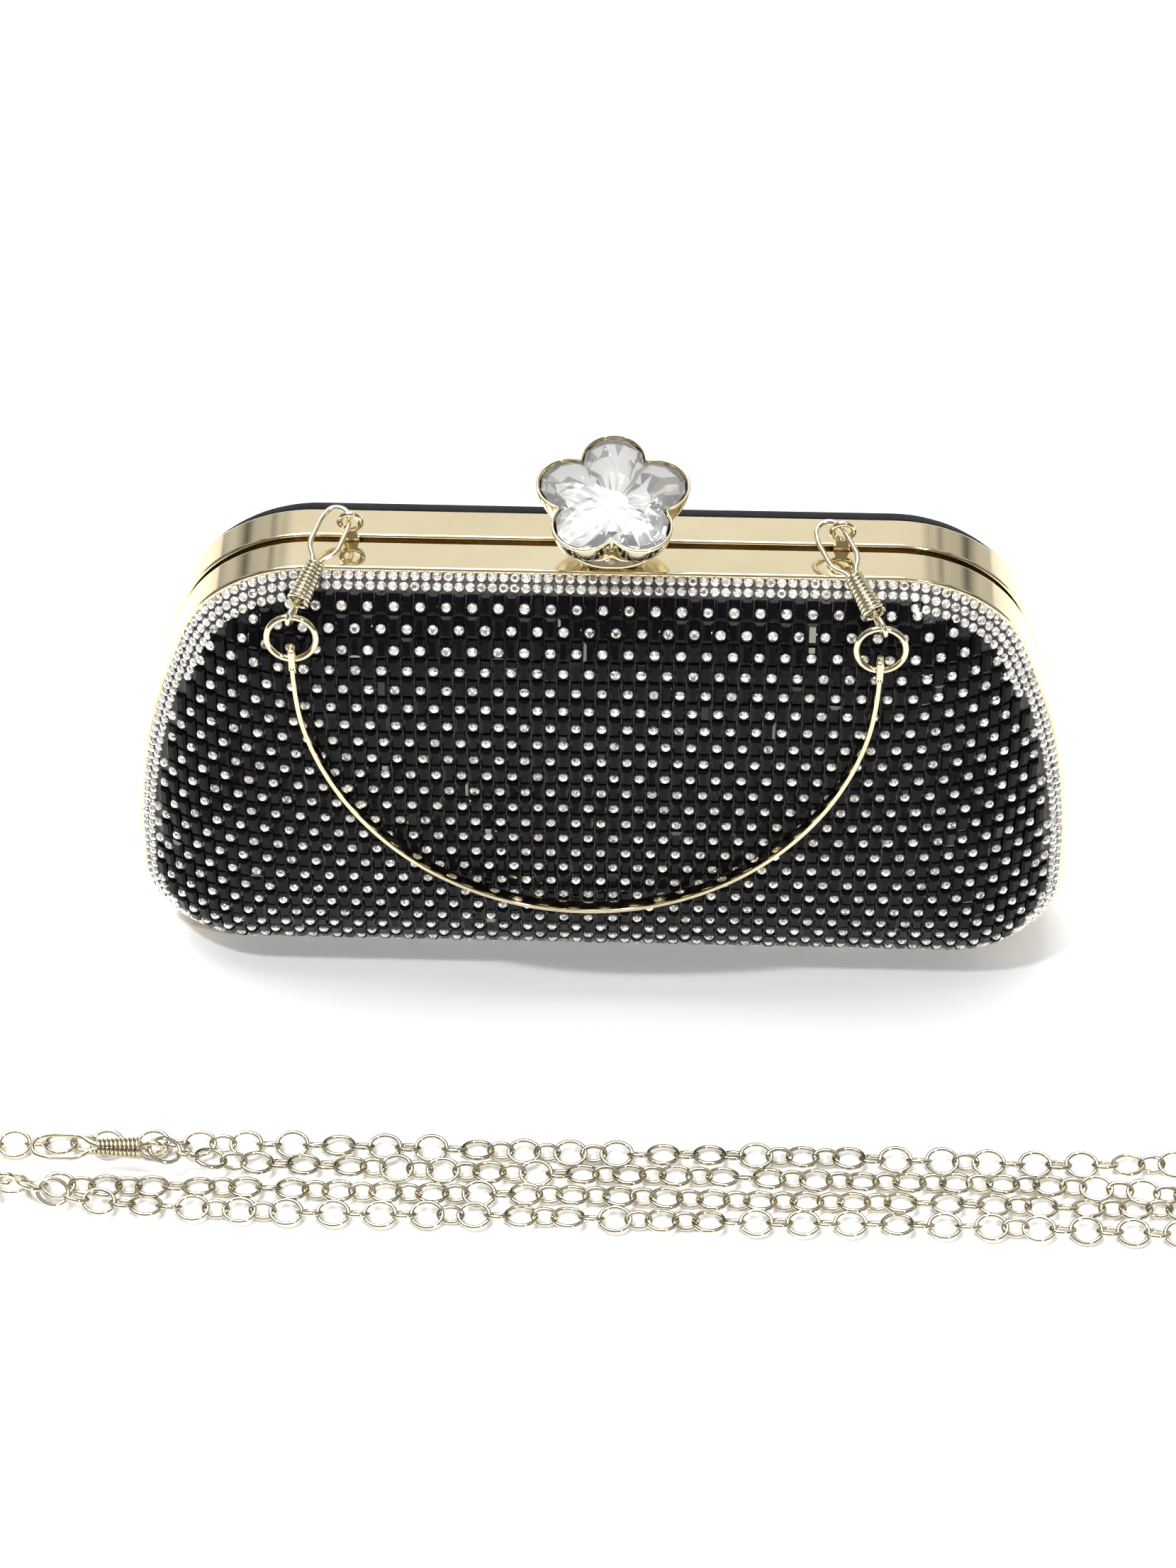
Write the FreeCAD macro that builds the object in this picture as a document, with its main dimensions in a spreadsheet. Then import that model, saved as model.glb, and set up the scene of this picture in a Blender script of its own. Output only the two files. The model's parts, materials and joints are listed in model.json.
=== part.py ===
"""Evening bag: a hard box clutch with two metal frames hinged along the base.

The front half stands still. The back half opens about the hinge pin, the flower knob tilts
forward to let go of it, and a stiff wrist band hangs from two snap hooks on the front half.
X is the width, the front faces -Y, +Z is up and the frames stand on z = 0.
"""
import FreeCAD, Part
import math
import os
from FreeCAD import Placement, Rotation, Vector

SIZES = {
    # the two frames, seen from the front: a rounded trapezoid with bowed sides
    "case_height": 131.0,
    "case_depth": 19.4,
    "frame_gap": 1.8,
    "top_corner_radius": 34.0,
    "base_corner_radius": 26.0,
    "side_radius": 220.0,
    "side_centre_across": -106.0,
    "side_centre_up": 28.6,
    "front_wall": 2.5,
    "back_wall": 2.2,
    "flange_width": 5.0,
    "flange_thick": 1.0,
    "frame_round": 0.7,
    "lip_wall": 0.8,
    "lip_reach": 2.4,
    "lip_foot": 14.0,
    # the pillow shells on the frames
    "front_bulge": 16.5,
    "back_bulge": 17.5,
    "front_bulge_run": 13.0,
    "back_bulge_run": 9.0,
    "crystal_thick": 1.2,
    "velvet_thick": 0.8,
    "shell_thick": 1.4,
    "lining_thick": 0.6,
    "trim_width": 3.6,
    # the hinge along the base
    "hinge_height": 1.3,
    "hinge_length": 124.0,
    "knuckle_radius": 1.2,
    "knuckle_count": 9.0,
    "pin_radius": 0.55,
    "leaf_thick": 0.8,
    "leaf_depth": 6.6,
    # the flower knob
    "flower_radius": 18.3,
    "flower_across": 1.8,
    "flower_band": 9.0,
    "flower_tilt": 7.0,
    "flower_height": 15.8,
    "neck_radius": 8.1,
    "clasp_pin_radius": 0.8,
    "clasp_pin_behind": -4.5,
    "clasp_pin_above": 2.2,
    # the snap hooks, jump rings and the wrist band
    "eyelet_left": -58.5,
    "eyelet_right": 54.5,
    "eyelet_above": 5.6,
    "eyelet_radius": 2.4,
    "eyelet_wire": 0.7,
    "hook_wire": 0.6,
    "coil_wire": 0.4,
    "coil_length": 11.6,
    "ring_left": -70.9,
    "ring_right": 63.4,
    "ring_forward": 23.4,
    "ring_below": 2.4,
    "ring_radius": 5.6,
    "ring_wire": 0.75,
    "band_depth": 3.2,
    "band_thick": 1.1,
    "band_low": 33.8,
    "band_out": 27.7,
    "band_below_ring": 1.7,
    # the shoulder chain folded in front of the bag
    "chain_length": 320.0,
    "chain_shift": -5.0,
    "chain_hook_near": -105.0,
    "chain_hook_far": -139.5,
    "chain_width": 26.0,
    "chain_thick": 5.6,
    "chain_ahead": 88.0,
}
SECTION_INSETS = (0.0, 1.5, 3.5, 6.0, 9.0, 13.0, 18.0, 25.0, 35.0, 48.0)

doc = FreeCAD.newDocument("EveningBag")
sheet = doc.addObject("Spreadsheet::Sheet", "sizes")
for row, (name, value) in enumerate(SIZES.items(), start=1):
    sheet.set(f"A{row}", name)
    sheet.set(f"B{row}", str(value))
    sheet.setAlias(f"B{row}", name)
doc.recompute()

sub_parts = []


def size(name):
    return float(sheet.get(name))


HEIGHT = size("case_height")
HALF_DEPTH = size("case_depth") / 2
HALF_GAP = size("frame_gap") / 2
HINGE_UP = size("hinge_height")
EYELET_UP = HEIGHT + size("eyelet_above")
RING_UP = HEIGHT - size("ring_below")
RING_OUT = -size("ring_forward")
END_HALF, END_BELOW, END_ABOVE = 0.9, 3.0, 3.6
CLASP_PIN = Vector(0, size("clasp_pin_behind"), HEIGHT + size("clasp_pin_above"))


# ---------------------------------------------------------------- shared helpers
def keep(sub_part, label):
    """Give a finished sub-part its node name and list it for writing."""
    sub_part.Label = label
    sub_parts.append(sub_part)
    return sub_part


def feature(label, shape):
    """A sub-part whose shape is worked out from the sheet's sizes."""
    made = doc.addObject("Part::Feature", label)
    made.Shape = shape
    return keep(made, label)


def box(low, high):
    """A box between two corners."""
    low, high = Vector(*low), Vector(*high)
    return Part.makeBox(high.x - low.x, high.y - low.y, high.z - low.z, low)


def plane_of(body, role):
    """One of a body's own origin planes."""
    return next(f for f in body.Origin.OriginFeatures if f.Role == role)


def corner_circles(inset):
    """Centres and radii of the top and base corner arcs at an inset, each kept tangent to its sides."""
    found = []
    for radius_name, at_top in (("top_corner_radius", True), ("base_corner_radius", False)):
        full = size(radius_name)
        radius = max(full - inset, 0.36 * full)
        up = HEIGHT - inset - radius if at_top else inset + radius
        reach = size("side_radius") - inset - radius
        rise = up - size("side_centre_up")
        across = size("side_centre_across") + math.sqrt(reach ** 2 - rise ** 2)
        found.append((across, up, radius))
    return found


def outline_edges(inset, depth):
    """The eight edges of the case outline at an inset, in the plane y = depth."""
    (top_x, top_z, top_r), (base_x, base_z, base_r) = corner_circles(inset)
    side = size("side_radius") - inset
    centre_x, centre_z = size("side_centre_across"), size("side_centre_up")

    def on_side(angle):
        return (centre_x + side * math.cos(angle), centre_z + side * math.sin(angle))

    top_turn = math.atan2(top_z - centre_z, top_x - centre_x)
    base_turn = math.atan2(base_z - centre_z, base_x - centre_x)
    half = [
        ((top_x, HEIGHT - inset), top_x, top_z, top_r, (math.pi / 2 + top_turn) / 2, on_side(top_turn)),
        (on_side(base_turn), base_x, base_z, base_r, (base_turn - math.pi / 2) / 2, (base_x, inset)),
    ]

    def at(x, z, mirror=1):
        return Vector(mirror * x, depth, z)

    def corner(mirror, start, x, z, r, middle, end):
        mid = (x + r * math.cos(middle), z + r * math.sin(middle))
        return Part.Arc(at(*start, mirror), at(*mid, mirror), at(*end, mirror)).toShape()

    def flank(mirror, start, end):
        mid = on_side((top_turn + base_turn) / 2)
        return Part.Arc(at(*start, mirror), at(*mid, mirror), at(*end, mirror)).toShape()

    def back_round(mirror, start, x, z, r, middle, end):
        return corner(mirror, end, x, z, r, middle, start)

    top, base = half
    return [
        Part.makeLine(at(top_x, HEIGHT - inset, -1), at(top_x, HEIGHT - inset)),
        corner(1, *top),
        flank(1, on_side(top_turn), on_side(base_turn)),
        corner(1, *base),
        Part.makeLine(at(base_x, inset), at(base_x, inset, -1)),
        back_round(-1, *base),
        flank(-1, on_side(base_turn), on_side(top_turn)),
        back_round(-1, *top),
    ]


def outline_wire(inset, depth):
    return Part.Wire(outline_edges(inset, depth))


def pillow_depth(inset, bulge, side):
    """How far a pillow shell stands out at an inset from its edge: steep at first, then nearly flat."""
    run = size("back_bulge_run") if side > 0 else size("front_bulge_run")
    return bulge * (1 - math.exp(-inset / run))


def pillow(edge_inset, bulge, side, start):
    """A solid pillow on the plane y = side * start, bulging to the side given by the sign."""
    wires = []
    for inset in SECTION_INSETS:
        depth = side * (start + pillow_depth(inset, bulge, side))
        wires.append(outline_wire(edge_inset + inset, depth))
    return Part.makeLoft(wires, True, True)


def skin(edge_inset, bulge, thick, side, start):
    """A pillow shell of even thickness, open at the frame."""
    outer = pillow(edge_inset, bulge, side, start)
    inner = pillow(edge_inset + thick, bulge - thick, side, start)
    return outer.cut(inner)


def sketch_outline(body, inset, name, plane="XZ_Plane"):
    """A sketch of the case outline on the body's own front plane."""
    sketch = body.newObject("Sketcher::SketchObject", name)
    sketch.AttachmentSupport = [(plane_of(body, plane), "")]
    sketch.MapMode = "FlatFace"
    turn = Rotation(Vector(1, 0, 0), -90)
    for edge in outline_edges(inset, 0.0):
        flat = edge.copy()
        flat.Placement = Placement(Vector(), turn)
        curve = flat.Curve
        ends = [vertex.Point for vertex in flat.Vertexes]
        if curve.TypeId == "Part::GeomLine":
            sketch.addGeometry(Part.LineSegment(ends[0], ends[1]), False)
        else:
            first, last = flat.ParameterRange
            middle = flat.valueAt((first + last) / 2)
            sketch.addGeometry(Part.Arc(ends[0], middle, ends[1]), False)
    return sketch


def rounded_path(points, share=0.45):
    """Straight runs joined by tangent arcs through a list of points."""
    points = [Vector(*p) for p in points]
    edges, start = [], points[0]
    for before, here, after in zip(points, points[1:], points[2:]):
        into, out = (here - before), (after - here)
        turn = into.getAngle(out)
        if turn < 0.01:
            continue
        trim = share * min(into.Length, out.Length)
        radius = trim / math.tan(turn / 2)
        into.normalize()
        out.normalize()
        first, last = here - into * trim, here + out * trim
        inward = out - into
        inward.normalize()
        middle = here + inward * (radius / math.cos(turn / 2) - radius)
        edges.append(Part.makeLine(start, first))
        edges.append(Part.Arc(first, middle, last).toShape())
        start = last
    edges.append(Part.makeLine(start, points[-1]))
    return Part.Wire(edges)


def wire_piece(points, radius, share=0.45):
    """A round wire bent along a list of points."""
    path = rounded_path(points, share)
    first = path.Edges[0]
    heading = first.tangentAt(first.FirstParameter)
    circle = Part.Wire(Part.makeCircle(radius, path.Edges[0].valueAt(first.FirstParameter), heading))
    return path.makePipeShell([circle], True, False)


def wound_coil(middle, thin, length):
    """A close-wound coil along +Z from the origin, as one ribbed sleeve. thin is half the wire's width."""
    turns = int(length / (2 * thin))
    pitch = length / turns
    bore = [Vector(middle - 0.5 * thin, 0, 0), Vector(middle - 0.5 * thin, 0, length)]
    edges = [Part.makeLine(bore[1], bore[0]), Part.makeLine(bore[0], Vector(middle, 0, 0))]
    for k in range(turns):
        low, high = Vector(middle, 0, k * pitch), Vector(middle, 0, (k + 1) * pitch)
        edges.append(Part.Arc(low, Vector(middle + thin, 0, (k + 0.5) * pitch), high).toShape())
    edges.append(Part.makeLine(Vector(middle, 0, length), bore[1]))
    return Part.Face(Part.Wire(edges)).revolve(Vector(), Vector(0, 0, 1), 360)


# ---------------------------------------------------------------- frames
def frame_body(label, wall_name, side):
    """A polished metal frame: an outline ring with a flange at its outer edge."""
    body = doc.addObject("PartDesign::Body", label)
    outer = sketch_outline(body, 0.0, label + "_outline")
    ring = body.newObject("PartDesign::Pad", label + "_band")
    ring.Profile = outer
    ring.Reversed = side > 0
    ring.setExpression("Length", "sizes.case_depth / 2 - sizes.frame_gap / 2")
    outer.AttachmentOffset = Placement(Vector(0, 0, -side * HALF_GAP), Rotation())
    doc.recompute()
    rim = [
        f"Edge{n}"
        for n, edge in enumerate(ring.Shape.Edges, start=1)
        if edge.BoundBox.YLength < 0.01
    ]
    round_over = body.newObject("PartDesign::Fillet", label + "_round")
    round_over.Base = (ring, rim)
    round_over.setExpression("Radius", "sizes.frame_round")
    doc.recompute()
    hollow = sketch_outline(body, size(wall_name), label + "_hollow")
    hollow.AttachmentOffset = Placement(Vector(0, 0, -side * HALF_GAP), Rotation())
    pocket = body.newObject("PartDesign::Pocket", label + "_inside")
    pocket.Profile = hollow
    pocket.Reversed = side < 0
    pocket.setExpression("Length", "sizes.case_depth / 2 - sizes.frame_gap / 2 - sizes.flange_thick")
    window = sketch_outline(body, size("flange_width"), label + "_window")
    window.AttachmentOffset = Placement(Vector(0, 0, -side * HALF_GAP), Rotation())
    opening = body.newObject("PartDesign::Pocket", label + "_opening")
    opening.Profile = window
    opening.Reversed = side < 0
    opening.setExpression("Length", "sizes.case_depth / 2")
    doc.recompute()
    print(label, "band", round(ring.Shape.Volume), "hollowed", round(opening.Shape.Volume))
    return body


def hinge_notch(body, side):
    """The slot in a frame's base that the hinge knuckles lie in."""
    label = body.Label
    sketch = body.newObject("Sketcher::SketchObject", label + "_slot")
    sketch.AttachmentSupport = [(plane_of(body, "XY_Plane"), "")]
    sketch.MapMode = "FlatFace"
    half = size("hinge_length") / 2 + 0.5
    near, far = 0.0, side * (size("knuckle_radius") + 0.35)
    corners = [(-half, near), (half, near), (half, far), (-half, far)]
    for first, last in zip(corners, corners[1:] + corners[:1]):
        sketch.addGeometry(Part.LineSegment(Vector(*first, 0), Vector(*last, 0)), False)
    slot = body.newObject("PartDesign::Pocket", label + "_hinge_slot")
    slot.Profile = sketch
    slot.Reversed = True
    slot.setExpression("Length", "sizes.front_wall + 0.2")
    doc.recompute()


def make_frames():
    front = frame_body("front_frame", "front_wall", -1)
    hinge_notch(front, -1)
    back = frame_body("back_frame", "back_wall", 1)
    hinge_notch(back, 1)
    keeper_slot(back)
    keep(front, "front_frame")
    keep(back, "back_frame")


def keeper_slot(body):
    """The slot in the top of the back frame that the clasp's tooth drops into."""
    sketch = body.newObject("Sketcher::SketchObject", "keeper_slot_outline")
    sketch.AttachmentSupport = [(plane_of(body, "XY_Plane"), "")]
    sketch.MapMode = "FlatFace"
    sketch.AttachmentOffset = Placement(Vector(0, 0, HEIGHT + 1), Rotation())
    corners = [(-3.6, 1.7), (3.6, 1.7), (3.6, 4.2), (-3.6, 4.2)]
    for first, last in zip(corners, corners[1:] + corners[:1]):
        sketch.addGeometry(Part.LineSegment(Vector(*first, 0), Vector(*last, 0)), False)
    slot = body.newObject("PartDesign::Pocket", "keeper_slot")
    slot.Profile = sketch
    slot.setExpression("Length", "sizes.back_wall + 1.5")
    doc.recompute()


def make_lip():
    """The inner lip of the front frame, which closes the gap between the frames."""
    wall = size("front_wall")
    inner = wall + size("lip_wall")
    start = -HALF_DEPTH + size("flange_thick")
    reach = size("lip_reach")
    ring = Part.Face([outline_wire(wall, start), outline_wire(inner, start).reversed()])
    band = ring.extrude(Vector(0, reach - start, 0))
    foot = box((-150, -20, -5), (150, 20, size("lip_foot")))
    finger_way = box((-4.2, -0.6, HEIGHT - 8), (4.2, 5, HEIGHT))
    feature("inner_lip", band.cut(foot).cut(finger_way))


# ---------------------------------------------------------------- shells, covers and linings
def make_front_shell():
    crystal = size("crystal_thick")
    shell = size("shell_thick")
    bulge = size("front_bulge")
    panel = skin(0.3, bulge, crystal, -1, HALF_DEPTH)
    split = -HALF_DEPTH - size("trim_width")
    edge_zone = box((-150, split, -5), (150, 0, HEIGHT + 5))
    feature("crystal_trim", panel.common(edge_zone))
    feature("crystal_panel", panel.cut(edge_zone))
    feature("front_shell", skin(0.3 + crystal, bulge - crystal, shell, -1, HALF_DEPTH))
    under = crystal + shell + 0.3
    lining = skin(0.3 + under, bulge - under, size("lining_thick"), -1, HALF_DEPTH)
    window = box((-150, -HALF_DEPTH - 0.3, -5), (150, 0, HEIGHT + 5))
    feature("front_lining", lining.cut(window))


def make_back_shell():
    velvet = size("velvet_thick")
    shell = size("shell_thick")
    bulge = size("back_bulge")
    feature("velvet_cover", skin(0.3, bulge, velvet, 1, HALF_DEPTH))
    feature("back_shell", skin(0.3 + velvet, bulge - velvet, shell, 1, HALF_DEPTH))
    under = velvet + shell + 0.3
    lining = skin(0.3 + under, bulge - under, size("lining_thick"), 1, HALF_DEPTH)
    feature("back_lining", lining)
    feature("slip_pocket", slip_pocket(0.3 + under + size("lining_thick"), bulge - under - size("lining_thick")))


def slip_pocket(edge_inset, bulge):
    """An open-topped pocket of lining cloth: a flat panel with gussets that reach the back lining."""
    half, low, top = 55.0, 22.0, 84.0
    near, cloth, deep = HALF_DEPTH + 3.4, 0.8, HALF_DEPTH + 30.0
    panel = box((-half, near, low), (half, near + cloth, top))
    floor = box((-half, near, low), (half, deep, low + cloth))
    sides = [box((x, near, low), (x + cloth, deep, top)) for x in (-half, half - cloth)]
    room = pillow(edge_inset, bulge, 1, HALF_DEPTH)
    return panel.multiFuse([floor] + sides).common(room).removeSplitter()


# ---------------------------------------------------------------- hinge
def knuckle_spans(which):
    """The stretches of the hinge that belong to one leaf, with running gaps between them."""
    count = int(size("knuckle_count"))
    pitch = size("hinge_length") / count
    left = -size("hinge_length") / 2
    return [(left + k * pitch + 0.1, left + (k + 1) * pitch - 0.1) for k in range(which, count, 2)]


def hinge_leaf(which, side, wall):
    """A leaf plate on a frame's inner base, with its knuckles round the pin."""
    thick, depth = size("leaf_thick"), size("leaf_depth")
    half = size("hinge_length") / 2
    edge = size("knuckle_radius") + 0.35
    near, far = sorted((side * edge, side * (edge + depth)))
    leaf = box((-half, near, wall), (half, far, wall + thick))
    for start, end in knuckle_spans(which):
        origin = Vector(start, 0, HINGE_UP)
        knuckle = Part.makeCylinder(size("knuckle_radius"), end - start, origin, Vector(1, 0, 0))
        low, high = sorted((0.0, side * edge))
        arm = box((start, low, HINGE_UP + 0.62), (end, high, wall + thick))
        leaf = leaf.fuse(knuckle).fuse(arm)
    bore = Part.makeCylinder(size("pin_radius") + 0.04, 2 * half + 4, Vector(-half - 2, 0, HINGE_UP), Vector(1, 0, 0))
    return leaf.cut(bore).removeSplitter()


def make_hinge():
    feature("front_hinge_leaf", hinge_leaf(0, -1, size("front_wall")))
    feature("back_hinge_leaf", hinge_leaf(1, 1, size("back_wall")))
    pin = doc.addObject("Part::Cylinder", "hinge_pin")
    pin.setExpression("Radius", "sizes.pin_radius")
    pin.setExpression("Height", "sizes.hinge_length")
    pin.setExpression("Placement.Base.x", "-sizes.hinge_length / 2")
    pin.setExpression("Placement.Base.z", "sizes.hinge_height")
    pin.Placement.Rotation = Rotation(Vector(0, 1, 0), 90)
    keep(pin, "hinge_pin")


# ---------------------------------------------------------------- flower clasp
def petal_wire(radius, up, count=5):
    """A five-petal outline: round petals meeting in notches, one notch to the front."""
    arcs = []
    notch, tip = 0.70 * radius, radius
    for k in range(count):
        start = math.radians(-90 + 360 / count * k)
        end = math.radians(-90 + 360 / count * (k + 1))
        middle = (start + end) / 2
        corners = [Vector(notch * math.cos(a), notch * math.sin(a), up) for a in (start, end)]
        top = Vector(tip * math.cos(middle), tip * math.sin(middle), up)
        arcs.append(Part.Arc(corners[0], top, corners[1]).toShape())
    return Part.Wire(arcs)


def flower_place():
    """Where the flower stands: its foot on the clasp pin's block, leaning a little to the front."""
    lean = Rotation(Vector(1, 0, 0), size("flower_tilt"))
    return Placement(Vector(size("flower_across"), -2.0, HEIGHT + 3.4), lean)


def make_flower():
    """The petal-shaped bezel cup with its tapering skirt, and the cut crystal set in it."""
    radius, band, height = size("flower_radius"), size("flower_band"), size("flower_height")
    outer = Part.makeLoft([petal_wire(0.84 * radius, height - band), petal_wire(radius, height)], True, True)
    inner = Part.makeLoft([petal_wire(0.84 * radius - 1, height - band + 1), petal_wire(radius - 1, height + 0.01)], True, True)
    bead = Part.makeTorus(0.70 * radius, 1.0, Vector(0, 0, height - band))
    neck = Part.makeCone(size("neck_radius"), 0.74 * radius, height - band, Vector(0, 0, 0))
    room = Part.makeCone(size("neck_radius") - 0.8, 0.60 * radius, height - band - 1.0, Vector(0, 0, -0.01))
    cup = outer.fuse(bead).fuse(neck).cut(inner).cut(room)
    girdle = petal_wire(radius - 1.75, height - 1.2)
    crown = Part.makeLoft([girdle, petal_wire(0.62 * radius, height + 1.6)], True, True)
    root = Part.makeLoft([petal_wire(0.84 * radius - 1.3, height - band + 1.3), girdle], True, True)
    for label, shape in (("flower_cup", cup.removeSplitter()), ("flower_crystal", crown.fuse(root).removeSplitter())):
        feature(label, shape).Placement = flower_place()


def make_clasp():
    """The base with two ears, the pivot pin, the lever with its tooth, and its return spring."""
    pin_y, pin_z = CLASP_PIN.y, CLASP_PIN.z
    plate = box((-4.6, -6.6, HEIGHT), (4.6, -1.2, HEIGHT + 0.6))
    ears = [box((x, pin_y - 1.5, HEIGHT), (x + 0.9, pin_y + 1.5, pin_z + 1.4)) for x in (-4.4, 3.5)]
    bore = Part.makeCylinder(size("clasp_pin_radius"), 12, Vector(-6, pin_y, pin_z), Vector(1, 0, 0))
    feature("clasp_base", plate.multiFuse(ears).cut(bore).removeSplitter())
    pin = doc.addObject("Part::Cylinder", "clasp_pin")
    pin.setExpression("Radius", "sizes.clasp_pin_radius")
    pin.Height = 8.8
    pin.setExpression("Placement.Base.x", "-4.4")
    pin.setExpression("Placement.Base.y", "sizes.clasp_pin_behind")
    pin.setExpression("Placement.Base.z", "sizes.case_height + sizes.clasp_pin_above")
    pin.Placement.Rotation = Rotation(Vector(0, 1, 0), 90)
    keep(pin, "clasp_pin")
    block = box((-1.2, pin_y - 1.3, pin_z - 1.3), (3.3, pin_y + 1.3, HEIGHT + 8.0))
    shelf = box((-1.2, pin_y - 1.3, HEIGHT + 5.0), (3.3, 2.0, HEIGHT + 7.2))
    finger = box((-2.8, pin_y + 1.8, HEIGHT + 1.2), (2.8, 3.4, HEIGHT + 2.4))
    tooth = box((-2.8, 2.4, HEIGHT - 1.1), (2.8, 3.4, HEIGHT + 2.4))
    running = Part.makeCylinder(size("clasp_pin_radius") + 0.05, 12, Vector(-6, pin_y, pin_z), Vector(1, 0, 0))
    bridge = box((-1.2, pin_y + 1.0, HEIGHT + 1.2), (2.8, pin_y + 1.8, HEIGHT + 2.4))
    lever = block.multiFuse([shelf, finger, tooth, bridge]).cut(running)
    cup = next(p for p in sub_parts if p.Label == "flower_cup")
    feature("clasp_lever", lever.cut(cup.Shape).removeSplitter())
    spring = wound_coil(1.15, 0.2, 1.8)
    spring.Placement = Placement(Vector(-3.3, pin_y, pin_z), Rotation(Vector(0, 1, 0), 90))
    feature("clasp_spring", spring)
    under_wall = HEIGHT - size("back_wall")
    feature("clasp_keeper", box((-6.0, 4.2, under_wall - 0.8), (6.0, 7.6, under_wall)))


# ---------------------------------------------------------------- hooks, rings and wrist band
def make_eyelet(label, across):
    """A stand-up ring on a tapered stem, brazed to the inner lip between the frames."""
    foot_z = HEIGHT - size("front_wall")
    y = -0.3
    ring = Part.makeTorus(size("eyelet_radius"), size("eyelet_wire"), Vector(across, y, EYELET_UP), Vector(0, 1, 0))
    neck_z = EYELET_UP - size("eyelet_radius")
    corners = [(-2.6, foot_z), (2.6, foot_z), (1.1, neck_z), (-1.1, neck_z)]
    points = [Vector(across + x, y - 0.5, z) for x, z in corners]
    stem = Part.Face(Part.makePolygon(points + points[:1])).extrude(Vector(0, 1.0, 0))
    feature(label, ring.fuse(stem).removeSplitter())


def hook_axes(eyelet_x, ring_x, beside):
    """The pivot at the ring, and unit vectors along, across and out of a snap hook."""
    pivot = Vector(ring_x, RING_OUT, RING_UP)
    along = Vector(eyelet_x + beside, -0.3, EYELET_UP) - pivot
    along.normalize()
    across = Vector(1, 0, 0) - along * along.x
    across.normalize()
    return pivot, along, across, along.cross(across)


def make_hook(name, pivot, along, across, out):
    """A snap hook: a long wire loop, a coil wrapped round its shank and a small lower eye."""
    wire = size("hook_wire")
    coil_start, coil_end = 3.4, 3.4 + size("coil_length")

    def at(s, b=0.0, c=0.0):
        return tuple(pivot + along * s + across * b + out * c)

    shank, wide, top = 0.72, 3.4, coil_end + 14.9
    loop = [
        at(coil_start + 5.6, -shank), at(coil_end + 0.4, -shank), at(coil_end + 3.4, -wide),
        at(top - 4.0, -wide), at(top - 0.9, -2.3), at(top, 0), at(top - 0.9, 2.3),
        at(top - 4.0, wide), at(coil_end + 3.4, wide), at(coil_end + 0.4, shank),
        at(coil_start + 5.6, shank),
    ]
    feature(f"{name}_wire", wire_piece(loop, wire))
    eye = [
        at(coil_start + 5.0, 0, -shank), at(coil_start - 0.2, 0, -shank), at(1.5, 0, -1.8),
        at(-0.5, 0, -1.95), at(-2.1, 0, 0), at(-0.5, 0, 1.95), at(1.5, 0, 1.8),
        at(coil_start - 0.2, 0, shank), at(coil_start + 5.0, 0, shank),
    ]
    feature(f"{name}_eye", wire_piece(eye, wire))
    thin = size("coil_wire")
    coil = wound_coil(shank + wire + 0.08 + thin, thin, size("coil_length"))
    coil.Placement = Placement(pivot + along * coil_start, Rotation(Vector(0, 0, 1), along))
    feature(f"{name}_coil", coil)


def ring_direction():
    """From a ring's pivot to its centre: down the front of the shell."""
    fall = Vector(0, -0.24, -1)
    fall.normalize()
    return fall


def make_ring(side_name, ring_x):
    """A jump ring hanging in the hook's lower eye."""
    fall = ring_direction()
    centre = Vector(ring_x, RING_OUT, RING_UP) + fall * size("ring_radius")
    ring = doc.addObject("Part::Torus", f"ring_{side_name}")
    ring.setExpression("Radius1", "sizes.ring_radius")
    ring.setExpression("Radius2", "sizes.ring_wire")
    normal = Vector(1, 0, 0).cross(fall)
    ring.Placement = Placement(centre, Rotation(Vector(0, 0, 1), normal))
    keep(ring, f"ring_{side_name}")


def ring_bottom(ring_x):
    """The middle of a ring's wire at its lowest place, where the band's end hangs."""
    return Vector(ring_x, RING_OUT, RING_UP) + ring_direction() * (2 * size("ring_radius"))


def band_points():
    """The wrist band's line: from the left ring, round a half ellipse on the front, to the right ring."""
    left, right = size("ring_left"), size("ring_right")
    hung = ring_bottom(0)
    start = hung.z - size("band_below_ring")
    middle, half = (left + right) / 2, (right - left) / 2
    drop = start - size("band_low")
    out = -size("band_out")
    points = []
    for step in range(15):
        angle = math.pi - step * math.pi / 14
        z = start - drop * math.sin(angle)
        lean = min(1.0, (start - z) / 18.0)
        points.append((middle + half * math.cos(angle), hung.y + (out - hung.y) * lean, z))
    return points


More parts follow.
